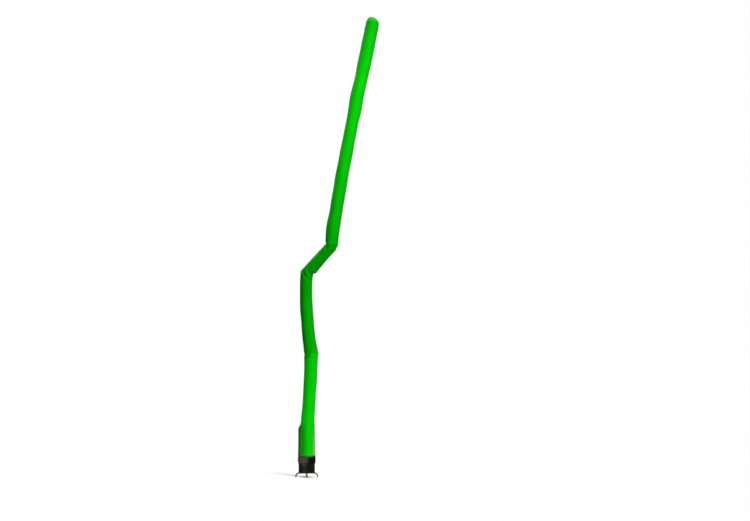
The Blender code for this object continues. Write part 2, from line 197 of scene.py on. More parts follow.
class Finish(Nodes):
    """A material with one Principled shader. Constants are set on the shader's own sockets."""

    def __init__(self, name, **constants):
        self.material = bpy.data.materials.new(name)
        self.material.use_nodes = True
        super().__init__(self.material.node_tree)
        self.shader = self.tree.nodes["Principled BSDF"]
        for socket, value in constants.items():
            self.shader.inputs[socket.replace("_", " ")].default_value = value

    def where(self):
        return self.add("TexCoord", {}, {}, output="Object")

    def metres(self):
        """The piece's own map: metres round it, and metres along it."""
        return self.split(self.add("UVMap", {"uv_map": "metres"}, {}))

    def split(self, vector):
        parts = self.add("SeparateXYZ", {}, {0: vector})
        return parts, parts.output("Y"), parts.output("Z")

    def wear(self, colour, roughness, height, depth, strength=1.0):
        """Links the colour, the roughness, and a relief of that depth in metres."""
        self.feed(self.shader.inputs["Base Color"], colour)
        self.feed(self.shader.inputs["Roughness"], roughness)
        bump = {"Strength": strength, "Distance": depth, "Height": height}
        self.feed(self.shader.inputs["Normal"], self.add("Bump", {}, bump))
        return self.material


print("shader helpers ready")

# %% [markdown]
# ## Light and floor
# The photograph shows one broad light from the front right, which leaves the cloth dim on its left
# and wherever it leans forward. Three wide suns light the whole height evenly, which a lamp near
# one end couldn't: that key, one above for the floor, and one behind for the back. The world is
# white to the eye, but its light on the object is dim. The floor is a pale disc that fades into
# that white, so it throws light on the foot alone and has no horizon.

# %% Light, sky and floor
# name, azimuth to the right of the camera, elevation, strength, width of the sun
SUN_ROWS = (
    ("key", 33.0, 30.0, 2.98, 25.0),
    ("above", 30.0, 80.0, 1.70, 90.0),
    ("behind", 205.0, 35.0, 1.50, 60.0),
)
SKY_SEEN = 0.995
SKY_LIGHT = 0.05
FLOOR_RADIUS = 5.0
FLOOR_SOLID = 1.0
FLOOR_SIDES = 96


def add_sun(name, azimuth, elevation, strength, width):
    lamp = bpy.data.lights.new(name, "SUN")
    lamp.energy = strength
    lamp.angle = math.radians(width)
    sun = put_in_scene(name, lamp)
    turn = math.radians(azimuth)
    rise = math.radians(elevation)
    towards = (math.sin(turn) * math.cos(rise), -math.cos(turn) * math.cos(rise), math.sin(rise))
    sun.rotation_euler = Vector(towards).to_track_quat("Z", "Y").to_euler()


def add_sky():
    world = bpy.data.worlds.new("studio")
    world.use_nodes = True
    bpy.context.scene.world = world
    sky = Nodes(world.node_tree)
    seen = sky.add("LightPath", {}, {}, output="Is Camera Ray")
    background = world.node_tree.nodes["Background"]
    sky.feed(background.inputs["Color"], rgb(1.0, 1.0, 1.0))
    sky.feed(background.inputs["Strength"], seen * (SKY_SEEN - SKY_LIGHT) + SKY_LIGHT)


def pale_floor():
    finish = Finish("pale floor", Specular_IOR_Level=0.1)
    where = finish.where()
    cloud = finish.noise(where, 1.4)
    colour = finish.mix(cloud, rgb(0.86, 0.86, 0.855), rgb(0.89, 0.89, 0.885))
    away = finish.add("VectorMath", {"operation": "LENGTH"}, {0: where}, output="Value")
    finish.feed(finish.shader.inputs["Alpha"], finish.ramp(away, FLOOR_RADIUS, FLOOR_SOLID))
    return finish.wear(colour, cloud * 0.1 + 0.75, finish.noise(where, 0.02), 0.0002)


def full_turn(sides):
    """The angles of a ring's points, and the first one once more at the end."""
    return np.arange(sides + 1) * math.tau / sides


def turn_from(degrees, angle):
    """How far an angle is past that many degrees, within half a turn either way."""
    return (angle - math.radians(degrees) + math.pi) % math.tau - math.pi


def level_at(angle):
    """The level direction at an angle from +X towards +Y."""
    return np.stack([np.cos(angle), np.sin(angle), np.zeros_like(angle)], axis=-1)


def add_floor():
    edge = level_at(full_turn(FLOOR_SIDES)[:-1]) * FLOOR_RADIUS
    mesh = bpy.data.meshes.new("floor")
    mesh.from_pydata(edge, [], [tuple(range(FLOOR_SIDES))])
    mesh.materials.append(pale_floor())
    floor = put_in_scene("floor", mesh)


for row in SUN_ROWS:
    add_sun(*row)
add_sky()
add_floor()
bpy.context.scene.view_settings.view_transform = "Standard"
print("suns:", ", ".join(row[0] for row in SUN_ROWS))

# %% [markdown]
# ## Meshes from grids
# Almost every piece here is a surface of two parameters: how far along it and how far round. Its
# points come as one array of rings, and the faces follow from the ring and side numbers alone. A
# closed end gets one more point and a fan. The same numbers give each corner its place in metres,
# which is what the weaves are drawn on.

# %% Grids, caps and pieces


def grid_corners(rings, sides, wrap_rings, wrap_sides):
    """(the corner points of every cell, and the same corners counted without wrapping round)."""
    ring = np.arange(rings if wrap_rings else rings - 1)[:, None, None]
    side = np.arange(sides if wrap_sides else sides - 1)[None, :, None]
    ring = ring + np.array([0, 0, 1, 1])
    side = side + np.array([0, 1, 1, 0])
    ring, side = np.broadcast_arrays(ring, side)
    points = (ring % rings) * sides + side % sides
    flat = ring * (sides + 1) + side
    return points.reshape(-1, 4), flat.reshape(-1, 4)


def link_piece(name, mesh, finish, smooth_angle=math.radians(35)):
    mesh.validate()
    mesh.shade_smooth()
    mesh.set_sharp_from_angle(angle=smooth_angle)
    mesh.materials.append(finish)
    piece = put_in_scene(name, mesh)
    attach(piece, "root")
    return piece


def add_surface(name, rings, finish, around, along, wrap=(False, True), tips=(None, None)):
    """A piece from points (ring, side, xyz). around and along are the metres of each ring's side
    marks and of each ring; tips are the points that close the first and the last ring."""
    count, sides = rings.shape[:2]
    quads, flat = grid_corners(count, sides, *wrap)
    around = np.broadcast_to(around, (count + 1, sides + 1))
    along = np.broadcast_to(np.append(along, along[-1])[:, None], (count + 1, sides + 1))
    metres = np.stack([around, along], axis=-1).reshape(-1, 2)
    points = [rings.reshape(-1, 3)]
    faces = quads.tolist()
    maps = [metres[flat.ravel()]]
    side = np.arange(sides)
    after = (side + 1) % sides
    for tip, ring in zip(tips, (0, count - 1)):
        if tip is None:
            continue
        points.append(np.array([tip]))
        edge = (side, after) if ring else (after, side)
        fan = np.stack([*edge, np.full(sides, -1)], axis=1) + ring * sides
        fan[:, 2] = sum(len(p) for p in points) - 1
        faces += fan.tolist()
        marks = ring * (sides + 1) + np.stack([side, side + 1, side], axis=1)
        maps.append(metres[marks.ravel()])
    mesh = bpy.data.meshes.new(name)
    mesh.from_pydata(np.concatenate(points) + HOME, [], faces)
    mesh.uv_layers.new(name="metres").data.foreach_set("uv", np.concatenate(maps).ravel())
    return link_piece(name, mesh, finish)


def give_thickness(piece, thickness, outwards=False):
    """Turns a sheet of no thickness into real cloth with closed edges."""
    wall = piece.modifiers.new("cloth thickness", "SOLIDIFY")
    wall.thickness = thickness
    wall.offset = 1.0 if outwards else -1.0
    wall.use_even_offset = True
    wall.use_rim = True


UP = np.array([0.0, 0.0, 1.0])


def unit(vectors):
    return vectors / np.linalg.norm(vectors, axis=-1, keepdims=True)


def bell(value):
    return np.exp(-(value**2))


def lengths_along(points):
    """Distance of each point from the first, summed along the line through them."""
    steps = np.linalg.norm(np.diff(points, axis=0), axis=1)
    return np.concatenate([[0.0], np.cumsum(steps)])


def carry_outline(path, beside, over, across, up):
    """Rings of an outline carried along a path: each point is the path's own, plus across times
    the direction beside, plus up times the direction over."""
    beside = np.broadcast_to(beside, path.shape)[:, None]
    over = np.broadcast_to(over, path.shape)[:, None]
    return path[:, None] + across[..., None] * beside + up[..., None] * over


def circles(radius, turn):
    """(across, up) of the points of each ring, from its radius and the angles of a full turn."""
    return radius[:, None] * np.cos(turn[:-1]), radius[:, None] * np.sin(turn[:-1])


def smooth_through(places, values, at):
    """Cubic pieces through the values, each end taking the slope of the chord across it."""
    slopes = np.gradient(values, places, axis=0)
    i = np.clip(np.searchsorted(places, at, side="right") - 1, 0, len(places) - 2)
    span = (places[i + 1] - places[i])[:, None]
    t = (at[:, None] - places[i][:, None]) / span
    start = (2 * t**3 - 3 * t**2 + 1) * values[i] + (t**3 - 2 * t**2 + t) * span * slopes[i]
    end = (3 * t**2 - 2 * t**3) * values[i + 1] + (t**3 - t**2) * span * slopes[i + 1]
    return start + end


print("grid helpers ready")

# %% [markdown]
# ## The tube's course
# Air holds the tube up like a soft column, and it gives way in three places: a slight knee, a
# sharp elbow and a sharp shoulder. Between them its middle runs smoothly, so four runs of smooth
# curve are enough, each through a short table of heights, offsets and radii. The two runs at a
# kink share their end point, and the cloth's cross-section there lies in the mitre between them.

# %% The middle line
TOTAL_HEIGHT = 9.144

# run, height, across, depth, radius
COURSE_ROWS = (
    (1, 0.378, 0.000, 0.000, 0.1650),
    (1, 0.577, 0.000, 0.000, 0.1640),
    (1, 0.789, -0.002, 0.000, 0.1600),
    (1, 0.928, -0.001, 0.000, 0.1545),
    (1, 1.010, 0.015, 0.000, 0.1365),
    (1, 1.175, 0.021, 0.005, 0.1300),
    (1, 1.408, 0.038, 0.010, 0.1245),
    (1, 1.718, 0.054, 0.020, 0.1255),
    (1, 2.029, 0.070, 0.040, 0.1300),
    (1, 2.381, 0.080, 0.060, 0.1360),
    (2, 2.381, 0.080, 0.060, 0.1360),
    (2, 2.732, 0.028, 0.030, 0.1255),
    (2, 3.084, -0.004, 0.000, 0.1260),
    (2, 3.434, -0.021, -0.040, 0.1205),
    (2, 3.760, -0.021, -0.105, 0.1205),
    (2, 3.947, -0.008, -0.140, 0.1240),
    (3, 3.947, -0.008, -0.140, 0.1240),
    (3, 4.210, 0.241, -0.250, 0.1170),
    (3, 4.470, 0.488, -0.360, 0.1160),
    (4, 4.470, 0.488, -0.360, 0.1190),
    (4, 4.690, 0.500, -0.358, 0.1290),
    (4, 5.214, 0.576, -0.320, 0.1265),
    (4, 6.175, 0.737, -0.220, 0.1265),
    (4, 6.825, 0.855, -0.140, 0.1225),
    (4, 7.140, 0.918, -0.096, 0.1275),
    (4, 7.402, 0.956, -0.060, 0.1345),
    (4, 7.780, 1.035, -0.005, 0.1285),
    (4, 8.445, 1.172, 0.080, 0.1370),
    (4, 8.740, 1.229, 0.120, 0.1330),
    (4, 8.990, 1.271, 0.148, 0.1310),
)
KINK_REACH = 0.140
MITRE_SAMPLES = 14
TINY = 2e-4


def run_rows(run):
    """(distance of each row along its run, and its across, depth, height and radius)"""
    rows = np.array([(x, y, z, radius) for r, z, x, y, radius in COURSE_ROWS if r == run])
    return lengths_along(rows[:, :3]), rows


RUNS = [run_rows(run) for run in (1, 2, 3, 4)]
STARTS = np.concatenate([[0.0], np.cumsum([places[-1] for places, _ in RUNS])])
PLACES = dict(zip(("foot", "knee", "elbow", "shoulder", "top"), STARTS))


def course_at(distance):
    """Middle, direction and radius at distances along the tube; a kink belongs to the run below."""
    which = np.clip(np.searchsorted(STARTS, distance, side="left") - 1, 0, len(RUNS) - 1)
    middle = np.zeros((len(distance), 3))
    ahead = np.zeros((len(distance), 3))
    radius = np.zeros(len(distance))
    for k, (places, rows) in enumerate(RUNS):
        mine = which == k
        here = np.clip(distance[mine] - STARTS[k], 0.0, places[-1])
        found = smooth_through(places, rows, here)
        low = smooth_through(places, rows, np.clip(here - TINY, 0.0, places[-1]))
        high = smooth_through(places, rows, np.clip(here + TINY, 0.0, places[-1]))
        middle[mine] = found[:, :3]
        radius[mine] = found[:, 3]
        ahead[mine] = unit((high - low)[:, :3])
    return middle, ahead, radius


def mitre_at(distance):
    """The mean direction within reach of a place, square to which its cross-section lies."""
    reach = np.linspace(-1, 1, MITRE_SAMPLES) * KINK_REACH
    near = np.clip(distance[:, None] + reach, 0.0, PLACES["top"])
    ahead = course_at(near.ravel())[1]
    return unit(ahead.reshape(len(distance), -1, 3).mean(axis=1))


print("cloth from foot to dome:", round(PLACES["top"], 3), "m")
print("kinks at", {name: round(float(place), 3) for name, place in PLACES.items()})

# %% [markdown]
# ## Folds, gathers and waves
# Where an inflated tube buckles, the cloth on the inside of the bend has nowhere to go. It pushes in
# as a trough with a swollen lip beside it, and small creases fan out from the corner. These are
# listed in a table, as uneven as the photograph shows them. Each fold is a bell across its width and
# a wider bell along its length, with a crisp core, because thin coated nylon folds more sharply than
# it swells. Slow waves make the long runs a little uneven.

# %% Tables of folds
# "along" is measured up the tube from the named place, "around" is the angle from +X towards +Y,
# and "slant" tilts the fold from level (0) towards running up the tube (90).
# place, along, around, slant, half length, half width, rise
FOLD_ROWS = (
    ("knee", 0.000, 180, 0, 0.110, 0.034, -0.005),
    ("knee", 0.000, 0, 0, 0.110, 0.050, 0.005),
    ("knee", 0.165, 276, 60, 0.100, 0.028, 0.007),
    ("knee", 0.030, 252, 57, 0.110, 0.030, -0.015),
    ("knee", -0.010, 268, 57, 0.090, 0.030, 0.010),
    ("knee", -0.040, 306, 20, 0.070, 0.030, 0.006),
    ("knee", 0.000, 90, -50, 0.110, 0.030, -0.012),
    ("elbow", 0.062, 350, 0, 0.120, 0.042, -0.025),
    ("elbow", 0.150, 350, 0, 0.090, 0.036, 0.007),
    ("elbow", 0.030, 273, -41, 0.110, 0.026, 0.012),
    ("elbow", 0.095, 268, -41, 0.110, 0.028, -0.012),
    ("elbow", -0.040, 262, -41, 0.100, 0.028, -0.010),
    ("elbow", -0.020, 309, 60, 0.060, 0.028, 0.008),
    ("elbow", 0.000, 175, 0, 0.100, 0.040, 0.004),
    ("elbow", 0.000, 80, 25, 0.120, 0.032, -0.014),
    ("shoulder", -0.015, 180, 0, 0.100, 0.026, -0.005),
    ("shoulder", 0.085, 180, 0, 0.100, 0.050, 0.007),
    ("shoulder", 0.000, 355, 0, 0.100, 0.036, -0.007),
    ("shoulder", 0.030, 276, 84, 0.110, 0.030, -0.018),
    ("shoulder", 0.040, 300, 84, 0.100, 0.028, 0.010),
    ("shoulder", 0.060, 322, 84, 0.100, 0.030, -0.016),
    ("shoulder", 0.020, 250, 30, 0.060, 0.030, 0.010),
    ("shoulder", -0.080, 240, -25, 0.110, 0.030, -0.012),
    ("shoulder", -0.240, 265, 80, 0.070, 0.030, -0.006),
    ("shoulder", 0.000, 95, -60, 0.110, 0.030, -0.012),
    ("top", 0.088, 0, 0, 0.034, 0.022, 0.008),
    ("top", -0.085, 0, 0, 0.070, 0.040, 0.005),
    ("top", -0.115, 182, 0, 0.060, 0.028, 0.006),
)

# Finer creases of the same form, which the solid leaves out
CREASE_ROWS = (
    ("foot", 0.095, 288, 4, 0.075, 0.011, -0.0044),
    ("foot", 0.113, 276, -4, 0.065, 0.011, 0.0026),
    ("foot", 0.132, 293, -5, 0.070, 0.011, -0.0046),
    ("foot", 0.170, 284, 6, 0.070, 0.012, -0.0040),
    ("foot", 0.120, 60, -4, 0.070, 0.012, -0.0030),
    ("foot", 0.150, 120, 5, 0.060, 0.012, -0.0028),
    ("foot", 0.520, 262, 14, 0.100, 0.016, -0.0030),
    ("foot", 0.560, 318, -18, 0.090, 0.015, -0.0032),
    ("foot", 0.590, 20, 10, 0.110, 0.018, -0.0034),
    ("foot", 0.610, 130, -12, 0.110, 0.018, -0.0030),
    ("foot", 0.660, 290, 68, 0.110, 0.013, -0.0024),
    ("foot", 0.700, 240, 76, 0.120, 0.013, -0.0022),
    ("knee", 0.070, 225, 32, 0.080, 0.015, -0.0034),
    ("knee", -0.070, 215, -28, 0.080, 0.015, -0.0028),
    ("knee", 0.020, 150, 20, 0.080, 0.015, -0.0045),
    ("knee", 0.055, 292, 52, 0.060, 0.015, -0.0045),
    ("knee", -0.055, 330, 35, 0.060, 0.015, -0.0035),
    ("knee", 0.090, 60, -42, 0.090, 0.015, -0.0045),
    ("elbow", 0.020, 322, 24, 0.060, 0.015, -0.0042),
    ("elbow", 0.115, 318, -30, 0.070, 0.015, -0.0045),
    ("elbow", 0.015, 18, -18, 0.070, 0.015, -0.0042),
    ("elbow", 0.115, 28, 28, 0.080, 0.015, -0.0045),
    ("elbow", -0.060, 292, -36, 0.080, 0.015, -0.0045),
    ("elbow", -0.130, 345, -62, 0.090, 0.016, -0.0035),
    ("elbow", 0.200, 300, -66, 0.110, 0.016, -0.0035),
    ("elbow", 0.230, 55, 58, 0.110, 0.016, -0.0035),
    ("elbow", 0.010, 232, -20, 0.060, 0.015, -0.0040),
    ("shoulder", 0.015, 150, 22, 0.080, 0.015, -0.0032),
    ("shoulder", 0.035, 216, -26, 0.070, 0.015, -0.0030),
    ("shoulder", -0.055, 168, 12, 0.070, 0.015, -0.0024),
    ("shoulder", 0.120, 228, 58, 0.100, 0.015, -0.0035),
    ("shoulder", 0.140, 128, -60, 0.100, 0.015, -0.0035),
    ("shoulder", -0.150, 300, 74, 0.120, 0.015, -0.0035),
    ("shoulder", 0.150, 312, 80, 0.120, 0.015, -0.0040),
    ("shoulder", 0.180, 288, 86, 0.130, 0.016, -0.0034),
    ("top", -0.050, 186, 20, 0.050, 0.014, -0.0024),
    ("top", 0.070, 336, 50, 0.040, 0.014, -0.0040),
    ("top", 0.055, 30, -50, 0.045, 0.014, -0.0040),
    ("top", 0.020, 212, 56, 0.070, 0.014, -0.0024),
    ("top", -0.160, 350, 72, 0.120, 0.016, -0.0026),
)
CRISP_SHARE = 0.35
CRISP_WIDTH = 0.50
CRISP_FROM = 0.024

# Small creases that fan out from the inner corner of a kink
# place, along, around, spokes, reach, height
FAN_ROWS = (
    ("knee", 0.000, 182, 9, 0.060, 0.0012),
    ("elbow", 0.062, 350, 11, 0.085, 0.0036),
    ("shoulder", -0.010, 180, 10, 0.080, 0.0016),
    ("top", 0.100, 4, 8, 0.050, 0.0022),
)

# Slow unevenness of the whole length: turns in one circuit, wavelength up the tube, height, phase
WAVE_ROWS = (
    (0, 0.47, 0.0012, 5.0),
    (1, 1.31, 0.0016, 0.4),
    (2, 0.83, 0.0013, 2.1),
    (3, -0.57, 0.0011, 4.0),
    (5, 0.93, 0.0008, 1.2),
    (7, -2.10, 0.0007, 2.9),
    (9, 3.70, 0.0005, 0.7),
)

# %% The relief they make together
# Turns an angle round the tube into metres
MEAN_RADIUS = 0.125
HEM_TOP = 0.073
HEM_GATHERS = 30


def unrolled(place, along, around, distance, angle):
    """Metres round and metres up the unrolled tube, from a point of it."""
    return turn_from(around, angle) * MEAN_RADIUS, distance - PLACES[place] - along


def folds(rows, distance, angle):
    """Sum over the folds: rise times a bell along the fold and a bell across it, which has a
    crisp core where the fold is broad enough for the grid to hold one."""
    relief = np.zeros(distance.shape)
    for place, along, around, slant, half_length, half_width, rise in rows:
        sideways, upwards = unrolled(place, along, around, distance, angle)
        c, s = math.cos(math.radians(slant)), math.sin(math.radians(slant))
        lengthwise = (sideways * c + upwards * s) / half_length
        across = (upwards * c - sideways * s) / half_width
        crisp = CRISP_SHARE if half_width >= CRISP_FROM else 0.0
        core = (1 - crisp) * bell(across) + crisp * bell(across / CRISP_WIDTH)
        relief += rise * core * bell(lengthwise)
    return relief


def fans(distance, angle):
    """Ripples in a star: a cosine of the bearing, flat at the centre, highest at reach."""
    relief = np.zeros(distance.shape)
    for place, along, around, spokes, reach, height in FAN_ROWS:
        sideways, upwards = unrolled(place, along, around, distance, angle)
        away = np.hypot(sideways, upwards) / reach
        bearing = np.arctan2(upwards, sideways)
        swing = np.cos(spokes * bearing + 1.3 * np.sin(2 * bearing) + 0.8 * np.sin(3 * bearing))
        relief += height * away**2 * np.exp(1 - away**2) * swing
    return relief


def waves(distance, angle):
    """Slow sines that run up and round the tube together."""
    relief = np.zeros(distance.shape)
    for turns, wavelength, height, phase in WAVE_ROWS:
        relief += height * np.cos(turns * angle + math.tau * distance / wavelength + phase)
    return relief


def hem(distance, angle):
    """The doubled foot: a low step up to its edge, a ridge at the edge, and fine gathers."""
    up = distance / HEM_TOP
    step = 0.0005 * (1 - np.tanh((up - 1.0) * 12)) * np.clip((up - 0.35) * 6, 0, 1)
    ridge = 0.0022 * bell((up - 1.0) / 0.10)
    ripple = np.cos(HEM_GATHERS * angle + 2.0 * np.sin(5 * angle)) * (1 + 0.4 * np.sin(3 * angle))
    gathers = 0.0011 * ripple * bell((up - 1.25) / 0.55)
    return step + ridge + gathers


def relief_of(distance, angle):
    settled = np.clip(distance / 0.30, 0.0, 1.0)
    return (
        folds(FOLD_ROWS + CREASE_ROWS, distance, angle)
        + fans(distance, angle)
        + waves(distance, angle) * settled
        + hem(distance, angle)
    )


print("folds:", len(FOLD_ROWS), "main,", len(CREASE_ROWS), "fine,", len(FAN_ROWS), "fans")

# %% [markdown]
# ## One function for the whole cloth
# `cloth` turns any distance along the tube and any angle round it into a point of the cloth's
# outer face. Everything sewn to the tube is made with the same function, so it follows every fold
# underneath it. Past the last run the function closes into a dome, rounder on the left and squarer
# on the right, as the top was sewn.

# %% Points of the cloth
DOME_TIP = np.array([1.244, 0.160, TOTAL_HEIGHT])
LEFT_SQUARE = 1.68
RIGHT_SQUARE = 1.8
LAST_MIDDLE, LAST_AHEAD, LAST_RADIUS = (part[0] for part in course_at(PLACES["top"][None]))
DOME_RISE = float(TOTAL_HEIGHT - LAST_MIDDLE[2])
# place, widest reach of the softening each way
SOFT_ROWS = (("knee", 0.035), ("elbow", 0.012), ("shoulder", 0.048))
SOFT_SAMPLES = 9


def softened(distance):
    """The course averaged over a short reach, which is widest right at a kink."""
    reach = np.zeros(distance.shape)
    for place, widest in SOFT_ROWS:
        reach = np.maximum(reach, widest * bell((distance - PLACES[place]) / (2.5 * widest)))
    near = distance[:, None] + np.linspace(-1, 1, SOFT_SAMPLES) * reach[:, None]
    parts = course_at(np.clip(near, 0.0, PLACES["top"]).ravel())
    middle, ahead, radius = (part.reshape(*near.shape, -1).mean(axis=1) for part in parts)
    return middle, unit(ahead), radius[:, 0]


def dome_middle(climb):
    """A quadratic curve that leaves the last run along it and ends at the tip."""
    corner = LAST_MIDDLE + LAST_AHEAD * DOME_RISE / (2 * LAST_AHEAD[2])
    share = climb[:, None]
    return (1 - share) ** 2 * LAST_MIDDLE + 2 * share * (1 - share) * corner + share**2 * DOME_TIP


def section_at(distance):
    """Middle, direction, mitre and radius of the cross-section at each distance, dome included."""
    body = np.minimum(distance, PLACES["top"])
    climb = np.clip((distance - PLACES["top"]) / DOME_RISE, 0.0, 1.0)
    middle, ahead, radius = softened(body)
    mitre = mitre_at(body)
    upright = unit(mitre + climb[:, None] * (UP - mitre))
    in_dome = climb[:, None] > 0
    ahead = np.where(in_dome, upright, ahead)
    mitre = np.where(in_dome, upright, mitre)
    return middle + dome_middle(climb) - LAST_MIDDLE, ahead, mitre, radius, climb


def cloth(distance, angle, proud=0.0):
    """A circle square to the run, swollen by the relief; each point slides along the run to the
    mitre plane. In the dome the radius falls with the climb c as (1 - c^n)^(1/n)."""
    distance, angle = np.broadcast_arrays(distance, angle)
    places, which = np.unique(distance, return_inverse=True)
    sections = section_at(places)
    middle, ahead, mitre, radius, climb = (part[which.reshape(distance.shape)] for part in sections)
    square = LEFT_SQUARE + (RIGHT_SQUARE - LEFT_SQUARE) * (1 + np.cos(angle)) / 2
    shrink = (1 - climb**square) ** (1 / square)
    radii = (radius + relief_of(distance, angle)) * shrink + proud
    right = unit(np.cross((0.0, 1.0, 0.0), ahead))
    back = np.cross(ahead, right)
    spoke = (np.cos(angle)[..., None] * right + np.sin(angle)[..., None] * back) * radii[..., None]
    slide = (spoke * mitre).sum(-1) / (ahead * mitre).sum(-1)
    return middle + spoke - ahead * slide[..., None]


def cloth_frame(distance, angle):
    """Point, direction up the tube and outward normal, from differences of the surface."""
    step = TINY / MEAN_RADIUS
    along = cloth(distance + TINY, angle) - cloth(distance - TINY, angle)
    around = cloth(distance, angle + step) - cloth(distance, angle - step)
    return cloth(distance, angle), unit(along), unit(np.cross(around, along))


# %% [markdown]
# ## The green nylon
# The cloth is thin coated nylon, woven fine with a stronger thread every few millimetres. It is
# strongly coloured and nearly without shine, so its specular level is low. Painted shade deepens the
# green from the knee to the shoulder, where the tube leans forward out of the light, and also beside
# the strip and just below the hem. A pale band on the hem is a painted highlight. A tan-grey smudge
# of dust lies low on the right.

# %% Finish: green nylon
RIPSTOP_PITCH = 0.005
RIPSTOP_WIDTH = 0.0007
THREAD_PITCH = 0.0009


def green_nylon():
    finish = Finish("green coated nylon", Specular_IOR_Level=0.11, Specular_Tint=rgb(0.1, 1.0, 0.1))
    around, along, _ = finish.metres()
    where = finish.where()
    patchy = finish.noise(where, 0.60)
    creased = finish.noise(where, 0.035, 4.0, 0.6)
    weave = finish.wave(around, THREAD_PITCH) * finish.wave(along, THREAD_PITCH)
    grid = finish.line(around, RIPSTOP_PITCH, RIPSTOP_WIDTH).maths(
        "MAXIMUM", finish.line(along, RIPSTOP_PITCH, RIPSTOP_WIDTH)
    )
    # Painted shade: the green is deeper from the knee to the shoulder, where the tube leans forward
    # out of the light, and lightens above it. At the knee this deeper stretch starts 0.09 m lower
    # everywhere except at the front right. The green is also a little darker near the top and in the
    # sleeve.
    slanting = along + 0.09 * finish.ramp(around, 0.62, 0.53)
    above_knee = finish.ramp(slanting, PLACES["knee"] - 0.03, PLACES["knee"] + 0.04)
    upwards = finish.ramp(along, PLACES["shoulder"] - 0.8, PLACES["shoulder"] + 3.5)
    rising = finish.mix(upwards, rgb(0.0005, 0.365, 0.0005), rgb(0.0010, 0.670, 0.0010))
    near_top = finish.ramp(along, PLACES["top"] - 1.0, PLACES["top"] - 0.1)
    upper = finish.mix(near_top * 0.6, rising, rgb(0.0010, 0.500, 0.0030))
    in_sleeve = finish.ramp(along, 0.72, 0.55)
    lower = finish.mix(in_sleeve, rgb(0.0010, 0.500, 0.0012), rgb(0.0010, 0.450, 0.0012))
    level = finish.mix(above_knee, lower, upper)
    green = finish.mix(patchy * 0.16, level, rgb(0.0005, 0.300, 0.0005))
    threaded = finish.mix(grid * 0.15, green, rgb(0.0005, 0.250, 0.0005))
    low = finish.ramp(along, 0.62, 0.10)
    dusty_side = finish.ramp(finish.split(where)[0] - float(HOME[0]), 0.110, 0.165)
    dust = low * dusty_side * 0.70
    # Painted shade: the green beside the strip, on the left of the foot, is darkened.
    strip_side_shade = finish.ramp(around, 0.625, 0.520) * finish.ramp(along, 0.66, 0.60)
    worn = finish.mix(strip_side_shade * 0.60, threaded, rgb(0.0005, 0.110, 0.0005))
    dusted = finish.mix(dust, worn, rgb(0.230, 0.300, 0.150))
    below_hem = finish.ramp(along, HEM_TOP - 0.010, HEM_TOP - 0.045)
    shaded = finish.mix(below_hem * 0.85, dusted, rgb(0.020, 0.060, 0.018))
    # Painted highlight: a pale band on the turned-up hem, just below its edge.
    edge = finish.ramp(along, HEM_TOP - 0.045, HEM_TOP - 0.025)
    edge = edge * finish.ramp(along, HEM_TOP + 0.004, HEM_TOP - 0.016)
    colour = finish.mix(edge * (0.04 + 0.05 * creased), shaded, rgb(0.180, 0.260, 0.130))
    roughness = 0.46 + 0.12 * creased + 0.15 * dust
    height = grid * 0.6 + weave * 0.25 + creased * 1.4
    return finish.wear(colour, roughness, height, 0.00035, 0.7)


# %% [markdown]
# ## Where the rings of the cloth stand
# Rings stand closest where the cloth folds most: at the three kinks, at the ledge above the foot,
# at the hem and in the dome. Elsewhere the run is nearly straight and needs few of them.

# %% Places along the cloth
TUBE_SIDES = 80
NEAR_STEP = 0.0075
FAR_STEP = 0.030
STEP_GROWTH = 0.055
NEAR_REACH = 0.10
FINE_PLACES = 20000
FOOT_CREASES = 0.13
LEDGE = 0.60
DOME_RINGS = 30
DOME_SAMPLES = 400


def ring_places():
    """Distances of the rings: NEAR_STEP apart at the folded places, wider away from them."""
    special = np.array([0.0, HEM_TOP, FOOT_CREASES, LEDGE, *STARTS[1:]])
    fine = np.linspace(0.0, PLACES["top"], FINE_PLACES)
    nearest = np.abs(fine[:, None] - special).min(axis=1)
    beyond = np.maximum(nearest - NEAR_REACH, 0.0)
    step = np.minimum(FAR_STEP, NEAR_STEP + STEP_GROWTH * beyond)
    count = np.concatenate([[0.0], np.cumsum(np.diff(fine) / step[1:])])
    return np.interp(np.linspace(0.0, count[-1], int(count[-1]) + 1), count, fine)


def dome_places():
    """Distances of the dome's rings, an equal arc apart on its middle outline."""
    turn = np.linspace(0.0, math.pi / 2, DOME_SAMPLES)
    power = 4 / (LEFT_SQUARE + RIGHT_SQUARE)
    rise = np.sin(turn) ** power
    inward = np.cos(turn) ** power
    arc = lengths_along(np.stack([rise * DOME_RISE, inward * LAST_RADIUS], axis=1))
    marks = np.linspace(0.0, arc[-1], DOME_RINGS + 1)[1:-1]
    return PLACES["top"] + DOME_RISE * np.interp(marks, arc, rise)


BODY_PLACES = ring_places()
tube_angles = full_turn(TUBE_SIDES)
print("rings of the cloth:", len(BODY_PLACES), "of", TUBE_SIDES, "sides")

# %% [markdown]
# ## The foot sleeve and the tube
# The wide foot is a sleeve of its own, cut wider than the tube so that it fits over the drum. The
# tube's lower edge is lapped inside the sleeve's upper one, whose raw edge is turned under, and
# the step in width shows as the ledge low in the photograph. The tube stands one thickness and a
# hair inside the sleeve in the lap, and swells back to its own width just above it.

# %% Make the sleeve and the tube
CLOTH_THICK = 0.0010
FIT_GAP = 0.0003
SEAM_DISTANCE = 0.640
SEAM_LAP = 0.020
TURNED_EDGE = 0.014
TURNED_RISE = 0.0008
TURNED_STEP = 0.003
SWELL_BACK = 0.016


def sleeve_proud(distance):
    """One more thickness where the sleeve's upper edge is turned under."""
    share = np.clip((distance - SEAM_DISTANCE + TURNED_EDGE) / TURNED_STEP, 0.0, 1.0)
    return TURNED_RISE * share


def tube_proud(distance):
    """The tube is drawn in below the seam, and swells back along a smooth step above it."""
    share = np.clip((distance - SEAM_DISTANCE) / SWELL_BACK, 0.0, 1.0)
    return -(CLOTH_THICK + FIT_GAP) * (1 - share**2 * (3 - 2 * share))


